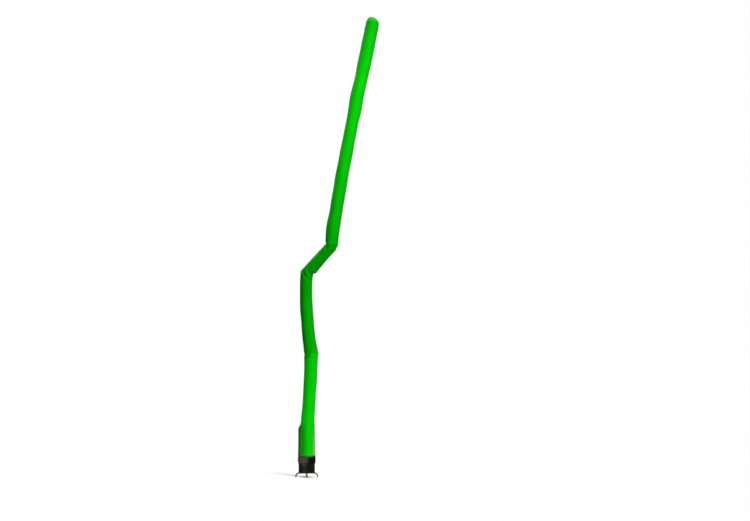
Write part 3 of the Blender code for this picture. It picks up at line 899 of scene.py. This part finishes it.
def add_cloth(name, places, proud, tip=None):
    rings = cloth(places[:, None], tube_angles[None, :-1], proud[:, None])
    marks = tube_angles * MEAN_RADIUS
    made = add_surface(name, rings, nylon, marks, places, tips=(None, tip))
    give_thickness(made, CLOTH_THICK)
    girth = np.linalg.norm(rings - np.roll(rings, 1, axis=1), axis=-1).sum(axis=1)
    length = np.linalg.norm(np.diff(rings.mean(axis=1), axis=0), axis=1).sum()
    print(name, "girth up to", girth.max().round(3), "and length", length.round(3))
    return made


nylon = green_nylon()
edge_places = SEAM_DISTANCE - np.array([TURNED_EDGE, TURNED_EDGE - TURNED_STEP, 0.0])
sleeve_places = np.append(BODY_PLACES[BODY_PLACES < edge_places[0] - 0.002], edge_places)
sleeve = add_cloth("foot_sleeve_cloth", sleeve_places, sleeve_proud(sleeve_places))
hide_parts("foot_sleeve")

lap_places = SEAM_DISTANCE + np.array([-SEAM_LAP, 0.0, 0.004, 0.008, 0.012])
upper_places = BODY_PLACES[BODY_PLACES > SEAM_DISTANCE + SWELL_BACK]
tube_places = np.concatenate([lap_places, upper_places, dome_places()])
tube = add_cloth("dancer_cloth", tube_places, tube_proud(tube_places), DOME_TIP)
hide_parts("dancer_tube")

# %% [markdown]
# ## Stitches
# Sewing thread shows as rows of small raised beads. One bead has only a few faces: three rings of
# five sides and two tips. All the beads of a row are one mesh, made by placing that bead with
# whole arrays of centres and directions.

# %% Rows of stitches
STITCH_PITCH = 0.0050
STITCH_LONG = 0.0038
STITCH_WIDE = 0.0010
STITCH_RINGS = ((-0.6, 0.8), (0.0, 1.0), (0.6, 0.8))
STITCH_SIDES = 5


def bead():
    """(points, triangles) of one bead along +X, one unit long each way and one wide."""
    turn = full_turn(STITCH_SIDES)[:-1]
    rings = [
        np.stack([np.full(STITCH_SIDES, x), r * np.cos(turn), r * np.sin(turn)], axis=1)
        for x, r in STITCH_RINGS
    ]
    points = np.concatenate([*rings, [(-1.0, 0.0, 0.0), (1.0, 0.0, 0.0)]])
    quads, _ = grid_corners(len(STITCH_RINGS), STITCH_SIDES, False, True)
    side = np.arange(STITCH_SIDES)
    after = (side + 1) % STITCH_SIDES
    first = np.full(STITCH_SIDES, len(points) - 2)
    top = (len(STITCH_RINGS) - 1) * STITCH_SIDES
    caps = [(after, side, first), (side + top, after + top, first + 1)]
    triangles = [quads[:, [0, 1, 2]], quads[:, [0, 2, 3]]] + [np.stack(c, axis=1) for c in caps]
    return points, np.concatenate(triangles)


def evenly(points, pitch):
    """Places, as shares of a path's point numbers, that stand one pitch apart along it."""
    length = lengths_along(points)
    marks = np.arange(pitch / 2, length[-1], pitch)
    return np.interp(marks, length, np.arange(len(points)))


def vectors_at(at, vectors):
    """Straight interpolation of a path's vectors at places between its point numbers."""
    order = np.arange(len(vectors))
    return np.stack([np.interp(at, order, vectors[:, k]) for k in range(3)], axis=1)


def add_stitches(name, rows, finish):
    """rows holds (points, outward normals) of each seam line; a bead lies on every pitch."""
    template, triangles = bead()
    size = np.array([STITCH_LONG, STITCH_WIDE, STITCH_WIDE]) / 2
    made = []
    for points, lift in rows:
        at = evenly(points, STITCH_PITCH)
        ahead = unit(vectors_at(at + 0.01, points) - vectors_at(at - 0.01, points))
        aside = unit(np.cross(unit(vectors_at(at, lift)), ahead))
        axes = np.stack([ahead, aside, np.cross(ahead, aside)], axis=1)
        centre = vectors_at(at, points)[:, None]
        made.append(centre + np.einsum("pk,nkx->npx", template * size, axes))
    beads = np.concatenate(made)
    faces = triangles[None] + np.arange(len(beads))[:, None, None] * len(template)
    mesh = bpy.data.meshes.new(name)
    mesh.from_pydata(beads.reshape(-1, 3) + HOME, [], faces.reshape(-1, 3).tolist())
    print(name, len(beads), "stitches")
    return link_piece(name, mesh, finish, math.pi)


def sewing_thread(name, colour):
    """Twisted thread: a tight slant of light and dark along it."""
    finish = Finish(name, Specular_IOR_Level=0.25)
    x, y, z = finish.split(finish.where())
    twist = finish.wave(x + y + z, 0.0008)
    dark = tuple(0.55 * part for part in colour)
    thread = finish.mix(twist, rgb(*dark), rgb(*colour))
    return finish.wear(thread, twist * 0.1 + 0.6, twist, 0.0001)


green_thread = sewing_thread("green thread", (0.004, 0.400, 0.004))
black_thread = sewing_thread("black thread", (0.020, 0.019, 0.018))

# %% [markdown]
# ## The lengthwise seams and the closed top
# The tube is one width of cloth sewn to itself, and so is the sleeve. Their seam runs up the left,
# in line with the side strip, folded flat and stitched down twice, and its edge puckers a little
# because thread pulls tighter than cloth. At the top the tube is sewn shut with one more seam over
# the dome, which ends at the squarer right corner that the photograph shows.

# %% Make the seams
SEAM_ANGLE = math.radians(187.5)
SEAM_HALF = 0.008
SLEEVE_SEAM = (0.560, SEAM_DISTANCE - 0.001)
TUBE_SEAM = (SEAM_DISTANCE + 0.002, PLACES["top"] + 0.62 * DOME_RISE)
SEAM_STEP = 0.009
SEAM_LIFT = 0.0006
SEAM_THICK = 0.0008
SEAM_COLUMNS = 7
SEAM_ROWS = (-0.62, 0.62)
PUCKER_HEIGHT = 0.0004


def pucker(distance):
    """Small uneven ripples along a seam."""
    slow = np.sin(math.tau * distance / 0.31) + np.sin(math.tau * distance / 0.073 + 1.0)
    return np.sin(math.tau * distance / 0.034 + 1.6 * slow)


def add_flat_seam(owner, span, base):
    """A narrow folded band up the cloth, base metres proud of it, and its two rows of thread."""
    places = np.linspace(*span, int((span[1] - span[0]) / SEAM_STEP) + 2)
    across = np.linspace(-1.0, 1.0, SEAM_COLUMNS)
    low = SEAM_LIFT + base(places)
    lift = low[:, None] + PUCKER_HEIGHT * (pucker(places)[:, None] + 1.0) * (1 - across**2)
    angle = SEAM_ANGLE + across * SEAM_HALF / MEAN_RADIUS
    points = cloth(places[:, None], angle[None, :], lift)
    marks = np.append(across, 1.0) * SEAM_HALF
    open_sides = (False, False)
    seam = add_surface(f"{owner}_seam", points, nylon, marks, places, open_sides)
    give_thickness(seam, SEAM_THICK, outwards=True)
    rows = []
    for share in SEAM_ROWS:
        at, _, normal = cloth_frame(places, SEAM_ANGLE + share * SEAM_HALF / MEAN_RADIUS)
        proud = low + SEAM_THICK + PUCKER_HEIGHT * (pucker(places) + 1.0) * (1 - share**2)
        rows.append((at + normal * (proud + 0.0001)[:, None], normal))
    return seam, add_stitches(f"{owner}_seam_stitches", rows, green_thread)


CLOSING_HALF = 0.0050
CLOSING_TALL = 0.0035
CLOSING_SIDES = 12
# points up the left of the dome, and down its right, which ends higher
CLOSING_POINTS = (60, 48)


def add_top_seam():
    """A low rounded ridge carried over the dome from its left side to its right corner."""
    climb = np.sin(np.linspace(0.30, math.pi / 2 - 0.02, CLOSING_POINTS[0]))
    climb = np.concatenate([climb, climb[::-1][: CLOSING_POINTS[1]]])
    angle = np.repeat([SEAM_ANGLE, SEAM_ANGLE - math.pi], CLOSING_POINTS)
    path = cloth(PLACES["top"] + DOME_RISE * climb, angle)
    ahead = unit(np.gradient(path, axis=0))
    beside = unit(np.array([0.0, -1.0, 0.0]) + ahead * ahead[:, 1:2])
    lift = np.cross(ahead, beside)
    turn = full_turn(CLOSING_SIDES)[:-1]
    order = np.arange(len(path))[:, None]
    swell = 1 + 0.25 * np.sin(order * 0.9) + 0.15 * np.sin(order * 0.37 + 1.0)
    across, up = CLOSING_HALF * np.cos(turn) * swell, CLOSING_TALL * np.sin(turn) * swell
    rings = carry_outline(path, beside, lift, across, up)
    ends = (path[0] - ahead[0] * 0.002, path[-1] + ahead[-1] * 0.002)
    marks = np.linspace(0.0, 0.03, CLOSING_SIDES + 1)
    along = lengths_along(path)
    seam = add_surface("top_seam", rings, nylon, marks, along, tips=ends)
    rows = []
    for share in (-1.0, 1.0):
        beyond = beside * share * (CLOSING_HALF + 0.0022)
        rows.append((path + beyond + lift * 0.0006, lift))
    return seam, add_stitches("top_stitches", rows, green_thread)


sleeve_sewing = list(add_flat_seam("sleeve", SLEEVE_SEAM, sleeve_proud))
tube_sewing = [*add_flat_seam("tube", TUBE_SEAM, tube_proud), *add_top_seam()]

# %% [markdown]
# ## The hem and the join
# The foot is turned up once and sewn. In the photograph the hem's edge is the thin light line just
# above the black cuff. Higher up, the sleeve is sewn to the tube through the lap. The doubled
# cloth is already in the surfaces, so only the rows of thread are new, two for each.

# %% Make the rows round the sleeve
ROW_POINTS = 361
# how far the rows lie below the hem's edge and below the join
HEM_STITCHES = (0.010, 0.018)
JOIN_STITCHES = (0.0035, 0.0100)


def ring_row(distance, proud):
    """One seam line right round the cloth, with its outward normals."""
    angle = np.linspace(0.0, math.tau, ROW_POINTS)
    at, _, normal = cloth_frame(np.full(len(angle), distance), angle)
    return at + normal * proud, normal


hem_rows = [ring_row(HEM_TOP - below, 0.0002) for below in HEM_STITCHES]
sleeve_sewing.append(add_stitches("hem_stitches", hem_rows, green_thread))
join_rows = [ring_row(SEAM_DISTANCE - below, 0.0010) for below in JOIN_STITCHES]
sleeve_sewing.append(add_stitches("join_stitches", join_rows, green_thread))

# %% [markdown]
# ## The side strip
# A strip of doubled, nearly black olive cloth is sewn on the left of the foot. Its top edge slants
# up towards the front. It is a patch of the same cloth function, raised by its own thickness, with
# a folded edge all round, so it bends with the foot beneath it.

# %% Finish and shape of the strip
STRIP_ANGLES = (math.radians(150.0), math.radians(240.0))
STRIP_FOOT = 0.036
STRIP_TOP_BACK = 0.500
STRIP_TOP_FRONT = 0.632
STRIP_LIFT = 0.0007
STRIP_THICK = 0.0014
STRIP_HEM = 0.014
STRIP_CELLS = (72, 30)
STRIP_WIDTH = (STRIP_ANGLES[1] - STRIP_ANGLES[0]) * MEAN_RADIUS
STRIP_MAP_LENGTH = 0.6
STRIP_ROW_INSETS = (0.012, 0.060)
STRIP_ROW_POINTS = (160, 60)
DOUBLED = 0.0007


def strip_cloth():
    """Close twill: slanting ribs. The colour is darkest at the back, most of all low down, and turns
    olive and then green towards the front edge.
    """
    finish = Finish("dark olive cloth", Specular_IOR_Level=0.08)
    around, along, _ = finish.metres()
    cloud = finish.noise(finish.where(), 0.05, 4.0, 0.6)
    twill = finish.wave(around + along, 0.0020) * finish.wave(around - along, 0.0034)
    middle = finish.ramp(around + cloud * 0.02, 0.110, 0.165)
    front = finish.ramp(around + cloud * 0.01, 0.158, 0.200)
    higher = finish.ramp(along, 0.18, 0.42)
    back = finish.mix(higher, rgb(0.022, 0.046, 0.008), rgb(0.044, 0.068, 0.017))
    olive = finish.mix(middle, back, rgb(0.034, 0.150, 0.009))
    greener = finish.mix(front, olive, rgb(0.006, 0.300, 0.002))
    faded = finish.mix(twill * 0.25 * cloud, greener, rgb(0.060, 0.100, 0.030))
    return finish.wear(faded, 0.75 + 0.15 * cloud, twill + cloud, 0.0004)


def strip_points(lengthwise, sideways, proud):
    """A point of the strip: shares 0 to 1 up it and round it; its top edge slants."""
    angle = STRIP_ANGLES[0] + sideways * (STRIP_ANGLES[1] - STRIP_ANGLES[0])
    top = STRIP_TOP_BACK + sideways * (STRIP_TOP_FRONT - STRIP_TOP_BACK)
    distance = STRIP_FOOT + lengthwise * (top - STRIP_FOOT)
    return cloth(distance, angle, proud)


def strip_edge(lengthwise, sideways):
    """0 at the strip's edge, 1 beyond the folded hem."""
    length = STRIP_TOP_FRONT - STRIP_FOOT
    inside = np.minimum(
        np.minimum(sideways, 1 - sideways) * STRIP_WIDTH,
        np.minimum(lengthwise, 1 - lengthwise) * length,
    )
    return np.clip((inside - STRIP_HEM) / 0.003, 0.0, 1.0)


def strip_slack(lengthwise, sideways):
    """Low waves of cloth that lies a little loose."""
    return 0.0006 * (1 + np.sin(14 * lengthwise + 5 * sideways) * np.cos(9 * sideways))


def add_strip():
    up = np.linspace(0.0, 1.0, STRIP_CELLS[0] + 1)[:, None]
    over = np.linspace(0.0, 1.0, STRIP_CELLS[1] + 1)[None, :]
    lengthwise, sideways = np.broadcast_arrays(up, over)
    doubled = DOUBLED * (1 - strip_edge(lengthwise, sideways))
    lift = STRIP_LIFT + doubled + strip_slack(lengthwise, sideways)
    points = strip_points(lengthwise, sideways, lift)
    marks = np.append(over[0], 1.0) * STRIP_WIDTH
    strip = add_surface(
        "side_strip", points, strip_cloth(), marks, up[:, 0] * STRIP_MAP_LENGTH,
        wrap=(False, False),
    )
    give_thickness(strip, STRIP_THICK, outwards=True)
    return strip


def strip_sewing():
    """Two rows of thread inside the strip's edge, each one closed loop."""
    rows = []
    long, short = STRIP_ROW_POINTS
    for inset in STRIP_ROW_INSETS:
        up = np.linspace(inset * 0.35, 1 - inset * 0.35, long)
        over = np.linspace(inset, 1 - inset, short)
        lengthwise = np.concatenate([up, np.full(short, up[-1]), up[::-1], np.full(short, up[0])])
        sideways = np.concatenate(
            [np.full(long, over[0]), over, np.full(long, over[-1]), over[::-1]]
        )
        lift = STRIP_LIFT + STRIP_THICK + DOUBLED + strip_slack(lengthwise, sideways)
        on_top = strip_points(lengthwise, sideways, lift)
        normal = unit(on_top - strip_points(lengthwise, sideways, lift - 0.01))
        rows.append((on_top, normal))
    return add_stitches("strip_stitches", rows, black_thread)


strip = add_strip()
strip_stitches = strip_sewing()
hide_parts("side_closing")

# %% [markdown]
# ## The cuff
# A band of heavy black cloth ties the sleeve to the drum. It is gathered where its lower hem draws
# in, and its upper edge dips in front. A table of heights and radii gives its profile, and uneven
# cosines round it give the gathers. The band is deep black. Painted light makes its front left
# lighter, in a mottled patch the colour of dust, and makes its left side lighter with a purple cast.
# A painted shadow darkens its lower hem.

# %% Finish and shape of the cuff
# height, radius, gather
CUFF_ROWS = (
    (0.258, 0.1612, 0.0002),
    (0.263, 0.1632, 0.0004),
    (0.269, 0.1634, 0.0006),
    (0.275, 0.1630, 0.0014),
    (0.290, 0.1676, 0.0022),
    (0.312, 0.1700, 0.0015),
    (0.340, 0.1706, 0.0009),
    (0.368, 0.1700, 0.0006),
    (0.388, 0.1694, 0.0003),
    (0.410, 0.1692, 0.0002),
)
CUFF_SIDES = 200
CUFF_RINGS = 56
CUFF_THICK = 0.0012
CUFF_MEAN_RADIUS = 0.167
CUFF_TALL = 0.15
CUFF_STITCH_SHARES = (0.13, 0.90, 0.94)
CUFF_ROW_POINTS = 720


def cuff_cloth():
    finish = Finish("black cuff cloth", Specular_IOR_Level=0.06)
    around, along, _ = finish.metres()
    where = finish.where()
    cloud = finish.noise(where, 0.040, 4.0, 0.6)
    weave = finish.wave(around, 0.0022) * finish.wave(along, 0.0022)
    # Painted light: a mottled patch the colour of dust lightens the front left of the band.
    lit_front_left = finish.ramp(around, 0.560, 0.690) * finish.ramp(around, 0.860, 0.740)
    # Painted shadow: the light patch fades out along the lower hem, which stays dark.
    lower_hem_shadow = finish.ramp(along, 0.026, 0.012)
    dust = lit_front_left * finish.ramp(cloud, 0.10, 0.80) * (1 - 0.75 * lower_hem_shadow)
    # Painted light: the left side is lighter, with a purple cast.
    left = finish.ramp(around, 0.500, 0.560) * finish.ramp(around, 0.700, 0.630)
    black = finish.mix(left, rgb(0.0030, 0.0016, 0.0016), rgb(0.055, 0.020, 0.038))
    colour = finish.mix(dust * 0.9, black, rgb(0.110, 0.094, 0.076))
    worn = finish.mix(weave * 0.05, colour, rgb(0.030, 0.026, 0.025))
    return finish.wear(worn, 0.85 + 0.10 * cloud, weave + cloud * 0.5, 0.0004)


def gather_swing(angle):
    """Uneven gathers: three cosines whose counts don't share a factor."""
    return np.cos(12 * angle) + 0.5 * np.cos(23 * angle + 0.8) + 0.35 * np.cos(31 * angle + 2.2)


def cuff_top(angle):
    """The upper edge dips in front and wanders a little elsewhere."""
    dip = bell(turn_from(272.0, angle) / 0.75)
    return 0.403 - 0.016 * dip + 0.0015 * np.cos(3 * angle + 0.5)


def cuff_points(share, angle, proud=0.0):
    """share runs from 0 at the lower hem to 1 at the upper edge."""
    share, angle = np.broadcast_arrays(share, angle)
    height = CUFF_ROWS[0][0] + share * (cuff_top(angle) - CUFF_ROWS[0][0])
    table = np.array(CUFF_ROWS)
    found = smooth_through(table[:, 0], table[:, 1:], height.ravel())
    radius = (found[:, 0] + proud).reshape(share.shape)
    radius = radius + found[:, 1].reshape(share.shape) * gather_swing(angle)
    return np.stack([radius * np.cos(angle), radius * np.sin(angle), height], axis=-1)


def add_cuff():
    angle = full_turn(CUFF_SIDES)
    share = np.linspace(0.0, 1.0, CUFF_RINGS + 1)
    points = cuff_points(share[:, None], angle[None, :-1])
    cuff = add_surface(
        "foot_cuff_cloth", points, cuff_cloth(),
        angle * CUFF_MEAN_RADIUS, share * CUFF_TALL,
    )
    give_thickness(cuff, CUFF_THICK)
    turn = full_turn(CUFF_ROW_POINTS)
    rows = [(cuff_points(share, turn, 0.0003), level_at(turn)) for share in CUFF_STITCH_SHARES]
    return cuff, add_stitches("cuff_stitches", rows, black_thread)


cuff, cuff_stitches = add_cuff()
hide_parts("foot_cuff")

# %% [markdown]
# ## The drum
# The drum is rolled from sheet steel and painted satin black. Three beads pressed into the wall
# stiffen it, and a flat ring inside its lower edge carries the bars of the intake guard. Drum and
# ring are each one outline of radius and height turned round the axis, and a bead is a squared
# cosine.

# %% Finish and shape of the drum
DRUM_RADIUS = 0.159
DRUM_WALL = 0.003
DRUM_BOTTOM = 0.093
DRUM_TOP = 0.385
DRUM_SIDES = 160
BEAD_OUT = 0.0025
BEAD_TALL = 0.012
BEAD_MIDDLES = (DRUM_BOTTOM + BEAD_TALL / 2, 0.246, DRUM_TOP - BEAD_TALL / 2)
RING_INSIDE = 0.1430
RING_OUTSIDE = 0.1556
RING_THICK = 0.003
RING_SOFT = 0.0006
LIP_RISE = 0.0012
BEAD_POINTS = 13
LIP_POINTS = 7
BAR_NAMES = [f"intake_bar_{number}" for number in range(1, 8)]


def painted_steel():
    """Satin paint with orange peel, rubbed through in small spots, with a painted highlight in a warm
    grey band at the front left, brightest from the middle bead up.
    """
    finish = Finish("black painted steel", Specular_IOR_Level=0.06)
    around, _, _ = finish.metres()
    where = finish.where()
    peel = finish.noise(where, 0.004, 2.0)
    cloud = finish.noise(where, 0.060, 5.0, 0.65)
    scuff = finish.ramp(finish.noise(where, 0.012, 6.0, 0.7), 0.66, 0.74)
    # Painted highlight: a warm grey band at the front left lightens the black paint.
    highlight_band = finish.ramp(around, 0.620, 0.705) * finish.ramp(around, 0.795, 0.730)
    paint = finish.mix(cloud, rgb(0.0020, 0.0014, 0.0014), rgb(0.0045, 0.0036, 0.0036))
    up = finish.split(where)[2]
    # The painted highlight is brightest from the middle bead up.
    bead_highlight = finish.ramp(up, DRUM_TOP - 0.165, DRUM_TOP - 0.145)
    dust = finish.mix(bead_highlight, rgb(0.019, 0.0125, 0.0125), rgb(0.046, 0.036, 0.036))
    highlighted_paint = finish.mix(highlight_band, paint, dust)
    colour = finish.mix(scuff * 0.15, highlighted_paint, rgb(0.030, 0.026, 0.025))
    return finish.wear(colour, 0.42 + 0.15 * cloud + 0.10 * scuff, peel, 0.00012)


def drum_outline():
    """Radius and height of every corner of the outline, up the outside and down the inside."""
    shape = np.linspace(-0.5, 0.5, BEAD_POINTS)
    heights = np.concatenate([middle + shape * BEAD_TALL for middle in BEAD_MIDDLES])
    bulge = np.tile(BEAD_OUT * np.cos(math.pi * shape) ** 2, len(BEAD_MIDDLES))
    outside = np.stack([DRUM_RADIUS + bulge, heights], axis=1)
    inner = DRUM_RADIUS - DRUM_WALL
    turn = np.linspace(0.0, math.pi, LIP_POINTS)[1:-1]
    lip_radius = DRUM_RADIUS - DRUM_WALL / 2 * (1 - np.cos(turn))
    lip = np.stack([lip_radius, DRUM_TOP + LIP_RISE * np.sin(turn)], axis=1)
    inside = [(inner, DRUM_TOP), (inner, (DRUM_TOP + DRUM_BOTTOM) / 2), (inner, DRUM_BOTTOM)]
    return np.concatenate([outside, lip, inside])


def ring_outline():
    """A flat rectangle with its four corners cut off."""
    low, high = DRUM_BOTTOM, DRUM_BOTTOM + RING_THICK
    out, into, soft = RING_OUTSIDE, RING_INSIDE, RING_SOFT
    corners = [(out - soft, low), (out, low + soft), (out, high - soft), (out - soft, high)]
    corners += [(into + soft, high), (into, high - soft), (into, low + soft), (into + soft, low)]
    return np.array(corners)


def turned(name, outline, sides, finish):
    """A closed outline of radius and height, carried round the Z axis."""
    turn = full_turn(sides)
    radius, height = outline.T
    path = height[:, None] * UP
    rings = carry_outline(path, (1.0, 0.0, 0.0), (0.0, 1.0, 0.0), *circles(radius, turn))
    along = lengths_along(outline)
    return add_surface(name, rings, finish, turn * radius.max(), along, wrap=(True, True))


def refinish(node, finish):
    """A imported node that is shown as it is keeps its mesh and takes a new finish."""
    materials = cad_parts[node].data.materials
    materials.clear()
    materials.append(finish)


black_paint = painted_steel()
drum = turned("blower_drum_skin", drum_outline(), DRUM_SIDES, black_paint)
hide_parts("blower_drum")
guard = turned("intake_ring_plate", ring_outline(), DRUM_SIDES, black_paint)
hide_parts("intake_ring")
for name in BAR_NAMES:
    refinish(name, black_paint)
print("drum outline has", len(drum_outline()), "points")

# %% [markdown]
# ## The stand
# Four bent rods carry the drum. Each starts at the hub, runs out level, turns down through a
# quarter circle and ends flat on the ground with a small chamfer. The rod is a circle carried
# along that path. Grey powder coat covers the steel, worn bright at the feet.

# %% Finish and shape of the rods
ROD_RADIUS = 0.014
ROD_SIDES = 32
ROD_HEIGHT = DRUM_BOTTOM - FIT_GAP - ROD_RADIUS
LEG_START = 0.0363
LEG_REACH = 0.210
LEG_BEND = 0.068
LEG_LEVEL_RINGS = (0.09, 0.12)
LEG_BEND_RINGS = 20
LEG_TURN = math.radians(4.0)
LEG_NAMES = ("right", "back", "left", "front")
CHAMFER = 0.0015


def coated_rod():
    finish = Finish("grey coated rod", Specular_IOR_Level=0.5, Metallic=0.35)
    where = finish.where()
    up = finish.split(where)[2]
    grain = finish.noise(where, 0.0022, 3.0)
    cloud = finish.noise(where, 0.030, 5.0, 0.65)
    worn = finish.ramp(up + cloud * 0.012, 0.016, 0.006)
    grey = finish.mix(cloud, rgb(0.055, 0.054, 0.052), rgb(0.090, 0.089, 0.085))
    colour = finish.mix(worn, grey, rgb(0.260, 0.255, 0.245))
    return finish.wear(colour, 0.48 + 0.12 * cloud - 0.10 * worn, grain, 0.00012)


def rod_path():
    """(outwards, up, radius) of the rod's rings, from its chamfer at the hub to its foot."""
    turn = np.linspace(0.0, math.pi / 2, LEG_BEND_RINGS)
    straight = [LEG_START, LEG_START + CHAMFER, *LEG_LEVEL_RINGS]
    out = [*straight, *(LEG_REACH - LEG_BEND + LEG_BEND * np.sin(turn)), LEG_REACH, LEG_REACH]
    bend = ROD_HEIGHT - LEG_BEND * (1 - np.cos(turn))
    up = [ROD_HEIGHT] * len(straight) + [*bend, CHAMFER, 0.0]
    radius = np.full(len(out), ROD_RADIUS)
    radius[[0, -1]] -= CHAMFER
    return np.array(out), np.array(up), radius


def add_rod(side, azimuth, finish):
    out, up, radius = rod_path()
    outwards = level_at(azimuth)
    beside = np.cross(UP, outwards)
    path = out[:, None] * outwards + up[:, None] * UP
    ahead = unit(np.gradient(path, axis=0))
    ahead[-2:] = -UP
    turn = full_turn(ROD_SIDES)
    rings = carry_outline(path, beside, np.cross(ahead, beside), *circles(radius, turn))
    rod = add_surface(
        f"stand_rod_{side}", rings, finish, turn * ROD_RADIUS, lengths_along(path),
        tips=(path[0], path[-1]),
    )
    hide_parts(f"stand_leg_{side}")


grey_coat = coated_rod()
for number, side in enumerate(LEG_NAMES):
    add_rod(side, LEG_TURN + number * math.pi / 2, grey_coat)
refinish("stand_hub", grey_coat)
print("rods:", ", ".join(LEG_NAMES))

# %% [markdown]
# ## The cable gland
# The power lead would enter the drum at the back through a small plastic gland. Only the gland is
# made. Its sleeve is a turned outline with two grip rings, laid over on its side so that it points
# away from the drum.

# %% Finish and shape of the gland
GLAND_TURN = math.radians(93.75)
GLAND_HEIGHT = 0.150
SOLID_DRUM_SIDES = 48
GLAND_OUT = DRUM_RADIUS * math.cos(math.pi / SOLID_DRUM_SIDES) + FIT_GAP
GLAND_SIDES = 64
# radius, distance out from the drum
GLAND_ROWS = (
    (0.0035, 0.0000),
    (0.0095, 0.0000),
    (0.0095, 0.0026),
    (0.0090, 0.0031),
    (0.0072, 0.0036),
    (0.0070, 0.0058),
    (0.0076, 0.0064),
    (0.0076, 0.0078),
    (0.0070, 0.0084),
    (0.0070, 0.0100),
    (0.0076, 0.0106),
    (0.0076, 0.0120),
    (0.0070, 0.0126),
    (0.0070, 0.0145),
    (0.0064, 0.0166),
    (0.0056, 0.0179),
    (0.0040, 0.0180),
    (0.0035, 0.0174),
)


def moulded_plastic():
    finish = Finish("moulded black plastic", Specular_IOR_Level=0.5)
    where = finish.where()
    grain = finish.noise(where, 0.0008, 2.0)
    cloud = finish.noise(where, 0.008, 3.0)
    colour = finish.mix(cloud, rgb(0.014, 0.014, 0.014), rgb(0.026, 0.026, 0.026))
    return finish.wear(colour, 0.45 + 0.12 * cloud, grain, 0.00005)


def add_gland():
    """The turned outline, with its axis turned from up to the gland's own direction."""
    radius, out = np.array(GLAND_ROWS).T
    away = level_at(GLAND_TURN)
    turn = full_turn(GLAND_SIDES)
    path = away * GLAND_OUT + UP * GLAND_HEIGHT + out[:, None] * away
    rings = carry_outline(path, np.cross(UP, away), UP, *circles(radius, turn))
    gland = add_surface(
        "cable_gland_sleeve", rings, moulded_plastic(),
        turn * radius.max(), lengths_along(np.array(GLAND_ROWS)), wrap=(True, True),
    )
    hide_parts("cable_gland")


add_gland()
